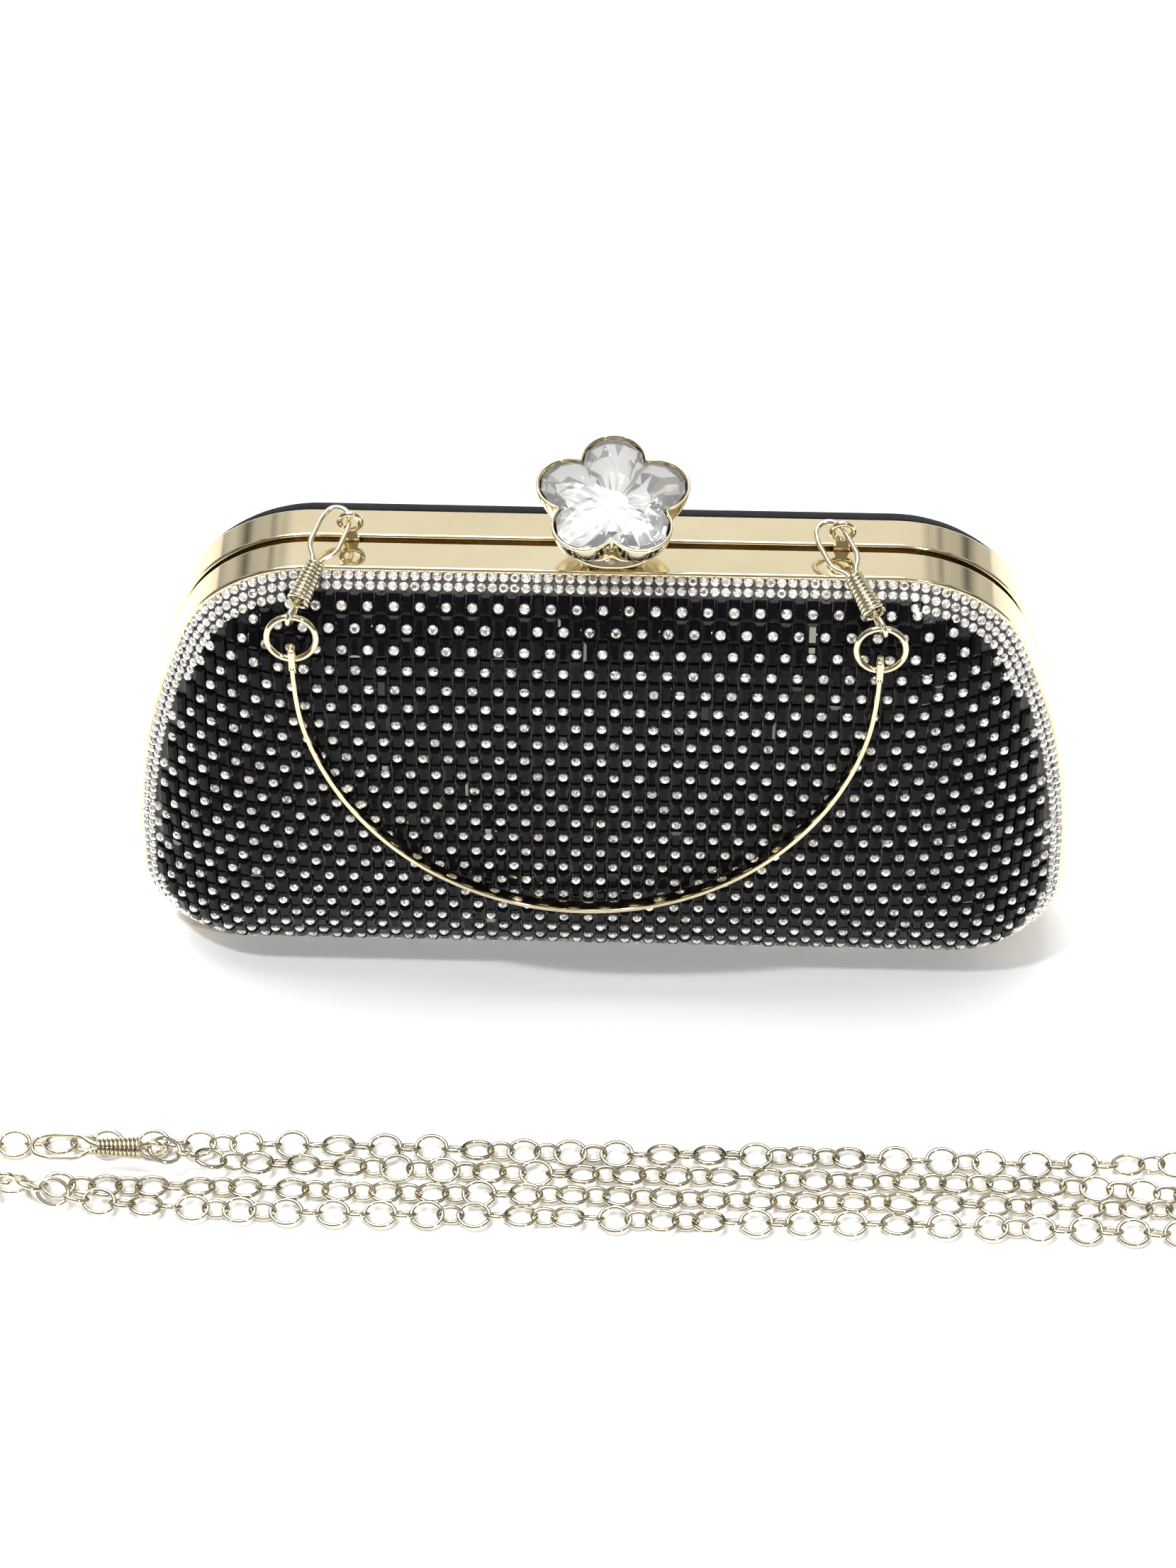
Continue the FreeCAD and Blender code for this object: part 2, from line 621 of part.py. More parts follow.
def make_band():
    """The stiff flat band, standing on edge round the loop, and its ribbed ends, each bored for its ring."""
    points = band_points()
    path = rounded_path(points)
    first = Vector(*points[0])
    heading = Vector(*points[1]) - first
    heading.normalize()
    outward = Vector(0, -1, 0)
    inside = outward.cross(heading)
    inside.normalize()
    deep = heading.cross(inside)
    half_d, half_t = size("band_depth") / 2, size("band_thick") / 2
    corners = [first + inside * (half_t * a) + deep * (half_d * b) for a, b in ((-1, -1), (1, -1), (1, 1), (-1, 1))]
    profile = Part.makePolygon(corners + corners[:1])
    sweep = Part.BRepOffsetAPI.MakePipeShell(path)
    sweep.setBiNormalMode(outward)
    sweep.add(profile)
    sweep.build()
    sweep.makeSolid()
    band = sweep.shape()
    feature("wrist_band", band)
    for name, ring_x in (("left", size("ring_left")), ("right", size("ring_right"))):
        hung = ring_bottom(ring_x)
        ring = Part.makeTorus(size("ring_radius"), size("ring_wire"),
                              hung - ring_direction() * size("ring_radius"),
                              Vector(1, 0, 0).cross(ring_direction()))
        plate = box((ring_x - END_HALF, hung.y - half_d, hung.z - END_BELOW),
                    (ring_x + END_HALF, hung.y + half_d, hung.z + END_ABOVE))
        plate = plate.makeFillet(0.3, plate.Edges)
        shape = plate.cut(ring).cut(band)
        feature(f"band_end_{name}", max(shape.Solids, key=lambda s: s.Volume))


# ---------------------------------------------------------------- shoulder chain
def make_chain():
    """The shoulder chain folded in four strands, as one solid of its outer shape, and its end hooks."""
    length, width = size("chain_length"), size("chain_width")
    thick, ahead = size("chain_thick"), size("chain_ahead")
    half, radius = length / 2, width / 2
    shift = size("chain_shift")
    left = Vector(shift - half + radius, -ahead, 0)
    right = Vector(shift + half - radius, -ahead, 0)
    across = Vector(0, radius, 0)
    edges = [
        Part.makeLine(left - across, right - across),
        Part.Arc(right - across, right + Vector(radius, 0, 0), right + across).toShape(),
        Part.makeLine(right + across, left + across),
        Part.Arc(left + across, left - Vector(radius, 0, 0), left - across).toShape(),
    ]
    feature("shoulder_chain", Part.Face(Part.Wire(edges)).extrude(Vector(0, 0, thick)))
    lie = thick + 2.8
    across, up = Vector(0, 1, 0), Vector(0, 0, 1)
    near_end = Vector(size("chain_hook_near"), 3.5 - ahead, lie)
    far_end = Vector(size("chain_hook_far"), -6.5 - ahead, lie)
    make_hook("chain_hook_near", near_end, Vector(-1, 0, 0), across, up)
    make_hook("chain_hook_far", far_end, Vector(-1, 0, 0), across, up)


make_frames()
make_lip()
make_front_shell()
make_back_shell()
make_hinge()
make_flower()
make_clasp()
make_eyelet("eyelet_left", size("eyelet_left"))
make_eyelet("eyelet_right", size("eyelet_right"))
make_hook("hook_left", *hook_axes(size("eyelet_left"), size("ring_left"), -3.4))
make_hook("hook_right", *hook_axes(size("eyelet_right"), size("ring_right"), -3.4))
make_ring("left", size("ring_left"))
make_ring("right", size("ring_right"))
make_band()
make_chain()
doc.recompute()

for made in doc.Objects:
    if "Invalid" in made.State or "Error" in made.State:
        raise RuntimeError(f"{made.Label} failed: {made.State}")
os.makedirs("parts", exist_ok=True)
for made in sub_parts:
    if made.Shape.isNull() or not made.Shape.isValid():
        raise RuntimeError(f"{made.Label} has no valid shape")
    made.Shape.exportStep(f"parts/{made.Label}.step")
    low, high = made.Shape.BoundBox, made.Shape.Volume
    print(f"{made.Label:22s} volume {high:10.1f}  x {low.XMin:7.1f} {low.XMax:7.1f}"
          f"  y {low.YMin:7.1f} {low.YMax:7.1f}  z {low.ZMin:7.1f} {low.ZMax:7.1f}"
          f"  solids {len(made.Shape.Solids)}")
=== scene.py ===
"""The looks of a crystal-fronted evening bag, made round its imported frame.

Sizes in the settings are in millimetres, as a maker works them out. Every mesh is in metres.
"""

import json
import math
import random

import bmesh
import bpy
import numpy as np
from mathutils import Matrix, Vector


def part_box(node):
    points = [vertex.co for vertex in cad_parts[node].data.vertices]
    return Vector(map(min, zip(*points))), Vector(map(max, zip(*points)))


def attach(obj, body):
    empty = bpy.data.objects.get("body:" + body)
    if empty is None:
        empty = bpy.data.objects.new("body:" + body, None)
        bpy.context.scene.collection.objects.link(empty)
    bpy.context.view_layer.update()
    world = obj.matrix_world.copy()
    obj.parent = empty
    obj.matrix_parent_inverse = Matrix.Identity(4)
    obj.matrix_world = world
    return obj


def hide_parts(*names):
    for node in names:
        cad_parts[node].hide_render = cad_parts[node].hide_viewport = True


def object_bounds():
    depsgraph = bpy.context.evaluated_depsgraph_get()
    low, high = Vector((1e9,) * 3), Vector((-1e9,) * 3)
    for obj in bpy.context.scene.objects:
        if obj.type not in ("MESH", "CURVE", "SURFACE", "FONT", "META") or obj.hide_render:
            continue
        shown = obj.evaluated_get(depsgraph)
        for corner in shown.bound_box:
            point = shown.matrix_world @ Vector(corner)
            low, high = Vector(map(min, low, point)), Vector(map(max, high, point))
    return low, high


bl_info = {
    "name": "Evening bag",
    "version": (1, 0, 0),
    "blender": (4, 5, 0),
    "location": "3D View > Sidebar > Evening bag",
    "description": "Stones, velvet, lining, clasp, handle, chain and stage of an evening bag",
    "category": "Add Mesh",
}

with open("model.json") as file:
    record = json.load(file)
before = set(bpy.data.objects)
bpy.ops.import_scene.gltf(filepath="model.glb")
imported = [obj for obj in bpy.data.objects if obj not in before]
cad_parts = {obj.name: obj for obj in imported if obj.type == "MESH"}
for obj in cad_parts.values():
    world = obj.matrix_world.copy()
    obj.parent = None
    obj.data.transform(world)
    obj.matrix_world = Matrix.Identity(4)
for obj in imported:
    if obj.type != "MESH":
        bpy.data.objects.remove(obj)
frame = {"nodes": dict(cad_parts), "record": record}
CAD_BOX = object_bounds()
MM = 0.001
TURN = 2 * math.pi

# ---------------------------------------------------------------- the case, in millimetres
HEIGHT = 131.0
HALF_DEPTH = 9.7
TOP_CORNER, BASE_CORNER, SIDE_BOW = 34.0, 26.0, 220.0
SIDE_ACROSS, SIDE_UP = -106.0, 28.6
LEAST_CORNER = 0.36
EDGE_INSET = 0.3
FRONT_BULGE, BACK_BULGE = 16.5, 17.5
FRONT_RUN, BACK_RUN = 13.0, 9.0
SKIN_INSETS = (0.0, 0.7, 1.5, 2.6, 4.0, 6.0, 9.0, 13.0, 18.0, 24.0, 31.0, 39.0, 47.0)
CAP_SHARES = (0.8, 0.6, 0.4, 0.2, 0.05)


def corners(inset):
    """Centre and radius of the top and base corner arcs at an inset, or at an array of insets."""
    found = []
    for full, top in ((TOP_CORNER, True), (BASE_CORNER, False)):
        radius = np.maximum(full - inset, LEAST_CORNER * full)
        up = HEIGHT - inset - radius if top else inset + radius
        across = SIDE_ACROSS + np.sqrt((SIDE_BOW - inset - radius) ** 2 - (up - SIDE_UP) ** 2)
        found.append((across, up, radius))
    return found


def outline(inset, fine=1):
    """The case outline at an inset, as a closed loop of (x, z) points from the top middle."""
    (top_x, top_z, top_r), (base_x, base_z, base_r) = corners(inset)
    top_turn = math.atan2(top_z - SIDE_UP, top_x - SIDE_ACROSS)
    base_turn = math.atan2(base_z - SIDE_UP, base_x - SIDE_ACROSS)
    side = SIDE_BOW - inset

    def spread(count, first, last):
        return [first + (last - first) * k / count for k in range(count)]

    half = [(x, HEIGHT - inset) for x in spread(26 * fine, 0.0, top_x)]
    half += [(top_x + top_r * math.cos(a), top_z + top_r * math.sin(a))
             for a in spread(18 * fine, math.pi / 2, top_turn)]
    half += [(SIDE_ACROSS + side * math.cos(a), SIDE_UP + side * math.sin(a))
             for a in spread(22 * fine, top_turn, base_turn)]
    half += [(base_x + base_r * math.cos(a), base_z + base_r * math.sin(a))
             for a in spread(14 * fine, base_turn, -math.pi / 2)]
    half += [(x, inset) for x in spread(30 * fine, base_x, 0.0)]
    half.append((0.0, inset))
    return half + [(-x, z) for x, z in half[-2:0:-1]]


def inside(x, z, inset):
    """Which points lie within the outline at an inset."""
    x = np.abs(x)
    held = (z >= inset) & (z <= HEIGHT - inset)
    held &= np.hypot(x - SIDE_ACROSS, z - SIDE_UP) <= SIDE_BOW - inset
    for (across, up, radius), top in zip(corners(inset), (1, -1)):
        turn = np.arctan2((up - SIDE_UP) * top, across - SIDE_ACROSS)
        angle = np.arctan2((z - up) * top, x - across)
        in_corner = (angle > turn) & (angle < math.pi / 2)
        held &= ~in_corner | (np.hypot(x - across, z - up) <= radius)
    return held


def inset_at(x, z):
    """How far points lie inside the outline, by halving."""
    x, z = np.broadcast_arrays(np.asarray(x, float), np.asarray(z, float))
    low, high = np.full(x.shape, -2.0), np.full(x.shape, 54.0)
    for _ in range(28):
        middle = (low + high) / 2
        held = inside(x, z, middle)
        low, high = np.where(held, middle, low), np.where(held, high, middle)
    return low


def depth_at(inset):
    """How far the front surface stands out of the frame at an inset."""
    return FRONT_BULGE * (1 - np.exp(-(np.asarray(inset) - EDGE_INSET) / FRONT_RUN))


def front_points(x, z):
    """Points of the outer front surface over (x, z), in millimetres."""
    y = -(HALF_DEPTH + depth_at(inset_at(x, z)))
    return np.stack([np.broadcast_to(x, y.shape), y, np.broadcast_to(z, y.shape)], axis=-1)


def front_normals(x, z):
    """Outward normals of the front surface over (x, z)."""
    step = 0.4
    across = (front_points(x + step, z) - front_points(x - step, z))
    up = (front_points(x, z + step) - front_points(x, z - step))
    normal = np.cross(across, up)
    return normal / np.linalg.norm(normal, axis=-1, keepdims=True)


def bulge_run(side):
    """How quickly a side's shell rises from its edge."""
    return FRONT_RUN if side < 0 else BACK_RUN


def skin_ring(inset, lift, bulge, side, ripple=None):
    """One loop round a pillow shell, lifted off it along its normal, in metres."""
    run = bulge_run(side)
    slope = bulge / run * math.exp(-inset / run)
    lean = math.hypot(1, slope)
    place = EDGE_INSET + inset - lift * slope / lean
    depth = HALF_DEPTH + bulge * (1 - math.exp(-inset / run)) + lift / lean
    loop = outline(place)
    return [Vector((x, side * (depth + (ripple(k, inset) if ripple else 0)), z)) * MM
            for k, (x, z) in enumerate(loop)]


def pillow_rings(lift, bulge, side, insets=SKIN_INSETS, ripple=None):
    """The loops of a pillow shell from its edge to its middle, with the cap's shrinking loops."""
    rings = [skin_ring(inset, lift, bulge, side, ripple) for inset in insets]
    last = rings[-1]
    middle = Vector((0, last[0].y, HEIGHT / 2 * MM))
    run = bulge_run(side)
    rise = side * bulge * (math.exp(-insets[-1] / run) - math.exp(-57 / run)) * MM
    for share in CAP_SHARES:
        ring = [middle + (p - middle) * share for p in last]
        for p in ring:
            p.y += rise * (1 - share)
        rings.append(ring)
    return rings


# ---------------------------------------------------------------- mesh helpers
def mesh_piece(name, points, faces, smooth=True):
    """A mesh object from points in metres and faces."""
    mesh = bpy.data.meshes.new(name)
    mesh.from_pydata([tuple(p) for p in points], [], faces)
    mesh.validate()
    mesh.polygons.foreach_set("use_smooth", [smooth] * len(mesh.polygons))
    piece = bpy.data.objects.new(name, mesh)
    bpy.context.scene.collection.objects.link(piece)
    return piece


def outward(piece):
    """Turn a closed piece's faces outward."""
    work = bmesh.new()
    work.from_mesh(piece.data)
    bmesh.ops.recalc_face_normals(work, faces=work.faces)
    work.to_mesh(piece.data)
    work.free()
    return piece


def loft(rings, closed=True, start_cap=False, end_cap=False):
    """Points and faces of a skin through loops of equal count."""
    count = len(rings[0])
    points = [p for ring in rings for p in ring]
    around = count if closed else count - 1
    faces = []
    for row in range(len(rings) - 1):
        for k in range(around):
            a, b = row * count + k, row * count + (k + 1) % count
            faces.append((a, b, b + count, a + count))
    if start_cap:
        faces.append(tuple(range(count))[::-1])
    if end_cap:
        first = (len(rings) - 1) * count
        faces.append(tuple(range(first, first + count)))
    return points, faces


def tube_rings(line, radius, sides=10, up=Vector((0, 0, 1)), closed=False):
    """Loops of a round wire along a line, without twist."""
    rings = []
    count = len(line)
    side = None
    for k, point in enumerate(line):
        before = line[(k - 1) % count] if closed or k else point
        after = line[(k + 1) % count] if closed or k < count - 1 else point
        heading = (after - before).normalized()
        if side is None:
            side = heading.cross(up)
            if side.length < 0.1:
                side = heading.cross(Vector((1, 0, 0)))
        side = (side - heading * side.dot(heading)).normalized()
        other = heading.cross(side)
        turns = [TURN * s / sides for s in range(sides)]
        rings.append([point + (side * math.cos(turn) + other * math.sin(turn)) * radius for turn in turns])
    return rings


def set_face_value(piece, name, values):
    """A number on each face for its material to read."""
    held = piece.data.attributes.new(name, "FLOAT", "FACE")
    held.data.foreach_set("value", values)


def scatter(name, template, places, seed):
    """One mesh of many copies of a template. A place is (origin, across, up, out, wide, tall, high)."""
    rng = random.Random(seed)
    shape, shape_faces = template
    points, faces, glints = [], [], []
    for origin, across, up, out, wide, tall, high in places:
        first = len(points)
        for x, y, z in shape:
            points.append((origin + across * (x * wide) + up * (y * tall) + out * (z * high)) * MM)
        for face in shape_faces:
            faces.append(tuple(first + k for k in face))
            glints.append(rng.random())
    piece = mesh_piece(name, points, faces, smooth=False)
    set_face_value(piece, "glint", glints)
    return piece


# ---------------------------------------------------------------- materials
def new_material(name):
    """A node material with only its surface shader and output."""
    made = bpy.data.materials.new(name)
    made.use_nodes = True
    nodes, links = made.node_tree.nodes, made.node_tree.links
    shader = nodes["Principled BSDF"]
    return made, nodes, links, shader


def noise(nodes, links, scale, detail=3.0, stretch=(1, 1, 1)):
    """Noise in object space, stretched along an axis."""
    place = nodes.new("ShaderNodeTexCoord")
    mapping = nodes.new("ShaderNodeMapping")
    mapping.inputs["Scale"].default_value = stretch
    texture = nodes.new("ShaderNodeTexNoise")
    texture.inputs["Scale"].default_value = scale
    texture.inputs["Detail"].default_value = detail
    links.new(place.outputs["Object"], mapping.inputs["Vector"])
    links.new(mapping.outputs["Vector"], texture.inputs["Vector"])
    return texture.outputs["Fac"]


def ramp(nodes, links, value, stops):
    """A colour ramp fed by a value. stops are (position, colour)."""
    made = nodes.new("ShaderNodeValToRGB")
    while len(made.color_ramp.elements) < len(stops):
        made.color_ramp.elements.new(0.5)
    for element, (position, colour) in zip(made.color_ramp.elements, stops):
        element.position = position
        element.color = (*colour, 1)
    links.new(value, made.inputs["Fac"])
    return made.outputs["Color"]


def bump(nodes, links, shader, value, strength, distance):
    made = nodes.new("ShaderNodeBump")
    made.inputs["Strength"].default_value = strength
    made.inputs["Distance"].default_value = distance
    links.new(value, made.inputs["Height"])
    links.new(made.outputs["Normal"], shader.inputs["Normal"])


def grey(level):
    return (level, level, level)


def metal(name, colour, shade, rough_low, rough_high, scratch=0.02):
    """Plated, polished metal: slight colour drift, uneven polish and hair scratches."""
    made, nodes, links, shader = new_material(name)
    drift = noise(nodes, links, 60, 4)
    links.new(ramp(nodes, links, drift, [(0.3, shade), (0.7, colour)]), shader.inputs["Base Color"])
    polish = noise(nodes, links, 180, 5)
    links.new(ramp(nodes, links, polish, [(0.3, grey(rough_low)), (0.75, grey(rough_high))]),
              shader.inputs["Roughness"])
    shader.inputs["Metallic"].default_value = 1.0
    hair = noise(nodes, links, 900, 2, (0.06, 1, 1))
    bump(nodes, links, shader, hair, scratch, 0.0001)
    return made


def black_glass(name, settings):
    """Cut black glass, each facet a little different in tone, with a few facets painted dark grey and cream
    as painted glints.
    """
    made, nodes, links, shader = new_material(name)
    facet = nodes.new("ShaderNodeAttribute")
    facet.attribute_name = "glint"
    deep = tuple(settings.black_colour)
    # The last stops are painted glints: the top few facets get dark grey and cream base colours; the rest
    # stay near-black with slight random tone.
    stops = [(0.0, deep), (0.99, (0.004, 0.004, 0.005)), (0.997, (0.06, 0.055, 0.045)),
             (1.0, (0.4, 0.38, 0.32))]
    links.new(ramp(nodes, links, facet.outputs["Fac"], stops), shader.inputs["Base Color"])
    haze = noise(nodes, links, 240, 3)
    links.new(ramp(nodes, links, haze, [(0.35, grey(0.03)), (0.8, grey(0.16))]), shader.inputs["Roughness"])
    shader.inputs["Specular IOR Level"].default_value = 0.09
    return made


def cut_crystal(name, settings, painted_dark_share=0.16):
    """Foil-backed clear stones: bright facets with a few grey and warm ones, painted per facet into the base
    colour as painted reflections and sparkle.
    """
    made, nodes, links, shader = new_material(name)
    facet = nodes.new("ShaderNodeAttribute")
    facet.attribute_name = "glint"
    bright = tuple(settings.stone_colour)
    # Painted reflections: the darkest facets are painted as dark reflections, then grey ones, then warm gold
    # reflections, and the rest are bright painted sparkle.
    stops = [(0.0, (0.10, 0.09, 0.08)), (painted_dark_share, (0.42, 0.38, 0.32)),
             (painted_dark_share + 0.16, (0.85, 0.78, 0.64)), (painted_dark_share + 0.22, bright), (1.0, (1.0, 1.0, 1.0))]
    links.new(ramp(nodes, links, facet.outputs["Fac"], stops), shader.inputs["Base Color"])
    cloud = noise(nodes, links, 1400, 2)
    links.new(ramp(nodes, links, cloud, [(0.4, grey(0.04)), (0.8, grey(0.2))]), shader.inputs["Roughness"])
    shader.inputs["Metallic"].default_value = 0.55
    shader.inputs["Coat Weight"].default_value = 1.0
    shader.inputs["Coat Roughness"].default_value = 0.02
    return made


def clear_glass(name):
    """Clear cut crystal that the foil behind shows through."""
    made, nodes, links, shader = new_material(name)
    tint = noise(nodes, links, 90, 2)
    stops = [(0.3, (0.97, 0.98, 0.99)), (0.7, (1, 1, 1))]
    links.new(ramp(nodes, links, tint, stops), shader.inputs["Base Color"])
    shader.inputs["Transmission Weight"].default_value = 0.93
    shader.inputs["Roughness"].default_value = 0.0
    shader.inputs["IOR"].default_value = 1.54
    return made


def velvet_cloth(name, settings):
    """Short-pile velvet: near-black with a soft sheen where the pile turns."""
    made, nodes, links, shader = new_material(name)
    pile = noise(nodes, links, 2600, 2)
    brush = noise(nodes, links, 28, 4, (1, 1, 0.4))
    base = tuple(settings.velvet_colour)
    lighter = tuple(2.2 * c + 0.001 for c in base)
    links.new(ramp(nodes, links, brush, [(0.35, base), (0.75, lighter)]), shader.inputs["Base Color"])
    links.new(ramp(nodes, links, pile, [(0.3, grey(0.8)), (0.7, grey(1.0))]), shader.inputs["Roughness"])
    shader.inputs["Sheen Weight"].default_value = 0.08
    shader.inputs["Sheen Roughness"].default_value = 0.35
    shader.inputs["Sheen Tint"].default_value = (0.5, 0.5, 0.55, 1)
    shader.inputs["Specular IOR Level"].default_value = 0.1
    bump(nodes, links, shader, pile, 0.5, 0.0004)
    return made


def satin_cloth(name, colour, shade):
    """Lining satin: a fine slanted weave with a silky gloss."""
    made, nodes, links, shader = new_material(name)
    slub = noise(nodes, links, 420, 3, (1, 1, 0.12))
    links.new(ramp(nodes, links, slub, [(0.3, shade), (0.7, colour)]), shader.inputs["Base Color"])
    place = nodes.new("ShaderNodeTexCoord")
    weave = nodes.new("ShaderNodeTexWave")
    weave.bands_direction = "DIAGONAL"
    weave.inputs["Scale"].default_value = 900
    weave.inputs["Distortion"].default_value = 1.5
    links.new(place.outputs["Object"], weave.inputs["Vector"])
    links.new(ramp(nodes, links, slub, [(0.3, grey(0.32)), (0.7, grey(0.5))]), shader.inputs["Roughness"])
    shader.inputs["Sheen Weight"].default_value = 0.2
    bump(nodes, links, shader, weave.outputs["Fac"], 0.3, 0.0002)
    return made


def pressed_board(name):
    """The moulded board under the skins: grey-brown fibre."""
    made, nodes, links, shader = new_material(name)
    fibre = noise(nodes, links, 700, 6, (0.3, 1, 1))
    stops = [(0.3, (0.035, 0.03, 0.027)), (0.7, (0.09, 0.08, 0.07))]
    links.new(ramp(nodes, links, fibre, stops), shader.inputs["Base Color"])
    links.new(ramp(nodes, links, fibre, [(0.3, grey(0.7)), (0.7, grey(0.9))]), shader.inputs["Roughness"])
    bump(nodes, links, shader, fibre, 0.4, 0.0003)
    return made


def stone_net(name):
    """The glossy black mesh that the stones are fused to."""
    made, nodes, links, shader = new_material(name)
    grain = noise(nodes, links, 1500, 3)
    stops = [(0.3, grey(0.002)), (0.75, grey(0.02))]
    links.new(ramp(nodes, links, grain, stops), shader.inputs["Base Color"])
    links.new(ramp(nodes, links, grain, [(0.3, grey(0.18)), (0.7, grey(0.45))]), shader.inputs["Roughness"])
    bump(nodes, links, shader, grain, 0.5, 0.0003)
    return made


# ---------------------------------------------------------------- settings
class BagSettings(bpy.types.PropertyGroup):
    """Sizes and colours of the bag's trimmings."""

    cell_wide: bpy.props.FloatProperty(
        name="Cell width", description="Width of one column of stones, in millimetres", default=3.0, min=1.0)
    cell_tall: bpy.props.FloatProperty(
        name="Cell height", description="Height of one row of stones, in millimetres", default=5.5, min=1.0)
    round_size: bpy.props.FloatProperty(
        name="Round stone", description="Diameter of a clear round stone, in millimetres",
        default=2.5, min=0.5)
    trim_pitch: bpy.props.FloatProperty(
        name="Trim pitch", description="Distance between stones in the two edge rows, in millimetres",
        default=2.55, min=0.5)
    gold_colour: bpy.props.FloatVectorProperty(
        name="Gold", description="Colour of the pale gold plating",
        subtype="COLOR", default=(0.83, 0.72, 0.49))
    gold_shade: bpy.props.FloatVectorProperty(
        name="Gold shade", description="Darker drift of the plating",
        subtype="COLOR", default=(0.76, 0.65, 0.43))
    black_colour: bpy.props.FloatVectorProperty(
        name="Black glass", description="Colour of the black cut stones",
        subtype="COLOR", default=(0.003, 0.003, 0.0035))
    stone_colour: bpy.props.FloatVectorProperty(
        name="Clear stones", description="Colour of the foil-backed stones",
        subtype="COLOR", default=(0.97, 0.96, 0.93))
    velvet_colour: bpy.props.FloatVectorProperty(
        name="Velvet", description="Colour of the velvet back",
        subtype="COLOR", default=(0.004, 0.004, 0.0045))
    lining_colour: bpy.props.FloatVectorProperty(
        name="Lining", description="Colour of the satin lining",
        subtype="COLOR", default=(0.035, 0.033, 0.034))
    chain_length: bpy.props.FloatProperty(
        name="Chain length", description="Length of the shoulder chain, in metres",
        unit="LENGTH", default=1.17)
    floor_colour: bpy.props.FloatVectorProperty(
        name="Floor", description="Colour of the studio floor", subtype="COLOR", default=(0.93, 0.93, 0.93))


def settings():
    return bpy.context.scene.bag_settings


def finish_piece(piece, body, slot, material, *nodes):
    """Give a new piece its body and its material, and hide the frame nodes it stands for."""
    piece.data.materials.clear()
    piece.data.materials.append(material)
    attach(piece, body)
    if nodes:
        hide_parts(*nodes)
    return piece


def material_named(name, make):
    """A material by name, made the first time it is asked for."""
    return bpy.data.materials.get(name) or make(name)


def pale_gold():
    held = settings()
    return material_named("pale_gold_plate", lambda name: metal(
        name, tuple(held.gold_colour), tuple(held.gold_shade), 0.05, 0.13))


# ---------------------------------------------------------------- stage
class BAG_OT_stage(bpy.types.Operator):
    """The camera, the pale floor and the soft studio light."""

    bl_idname = "bag.stage"
    bl_label = "Stage"

    def execute(self, context):
        make_camera(context)
        make_floor()
        make_light()
        context.scene.view_settings.view_transform = "Standard"
        return {"FINISHED"}


def make_camera(context):
    """A long lens looking down at the front."""
    drop, turn, roll = math.radians(48.0), math.radians(-1.3), math.radians(0.2)
    away, target = 0.9695, Vector((-0.0037, 0, 0.0480))
    ahead = Vector((math.sin(turn) * math.cos(drop), math.cos(turn) * math.cos(drop), -math.sin(drop)))
    level = Vector((math.cos(turn), -math.sin(turn), 0))
    upright = level.cross(ahead)
    right = level * math.cos(roll) + upright * math.sin(roll)
    up = upright * math.cos(roll) - level * math.sin(roll)
    lens = bpy.data.cameras.new("studio_camera")
    lens.lens, lens.sensor_width = 90.49, 36.0
    lens.clip_start, lens.clip_end = 0.01, 50.0
    camera = bpy.data.objects.new("studio_camera", lens)
    context.scene.collection.objects.link(camera)
    turned = Matrix((right, up, -ahead)).transposed()
    camera.matrix_world = Matrix.Translation(target - ahead * away) @ turned.to_4x4()
    context.scene.camera = camera


def make_floor():
    """A wide floor that the bag and the chain stand on."""
    low = min(CAD_BOX[0].z, 0.0)
    reach, steps = 6.0, 12
    points = [Vector((reach * (2 * i / steps - 1), reach * (2 * j / steps - 1), low))
              for j in range(steps + 1) for i in range(steps + 1)]
    wide = steps + 1
    faces = [(j * wide + i, j * wide + i + 1, (j + 1) * wide + i + 1, (j + 1) * wide + i)
             for j in range(steps) for i in range(steps)]
    floor = mesh_piece("studio_floor", points, faces)
    made, nodes, links, shader = new_material("floor_paper")
    tone = tuple(settings().floor_colour)
    soft = noise(nodes, links, 2, 2)
    stops = [(0.0, tuple(0.99 * c for c in tone)), (1.0, tone)]
    links.new(ramp(nodes, links, soft, stops), shader.inputs["Base Color"])
    shader.inputs["Roughness"].default_value = 0.9
    shader.inputs["Specular IOR Level"].default_value = 0.1
    floor.data.materials.append(made)


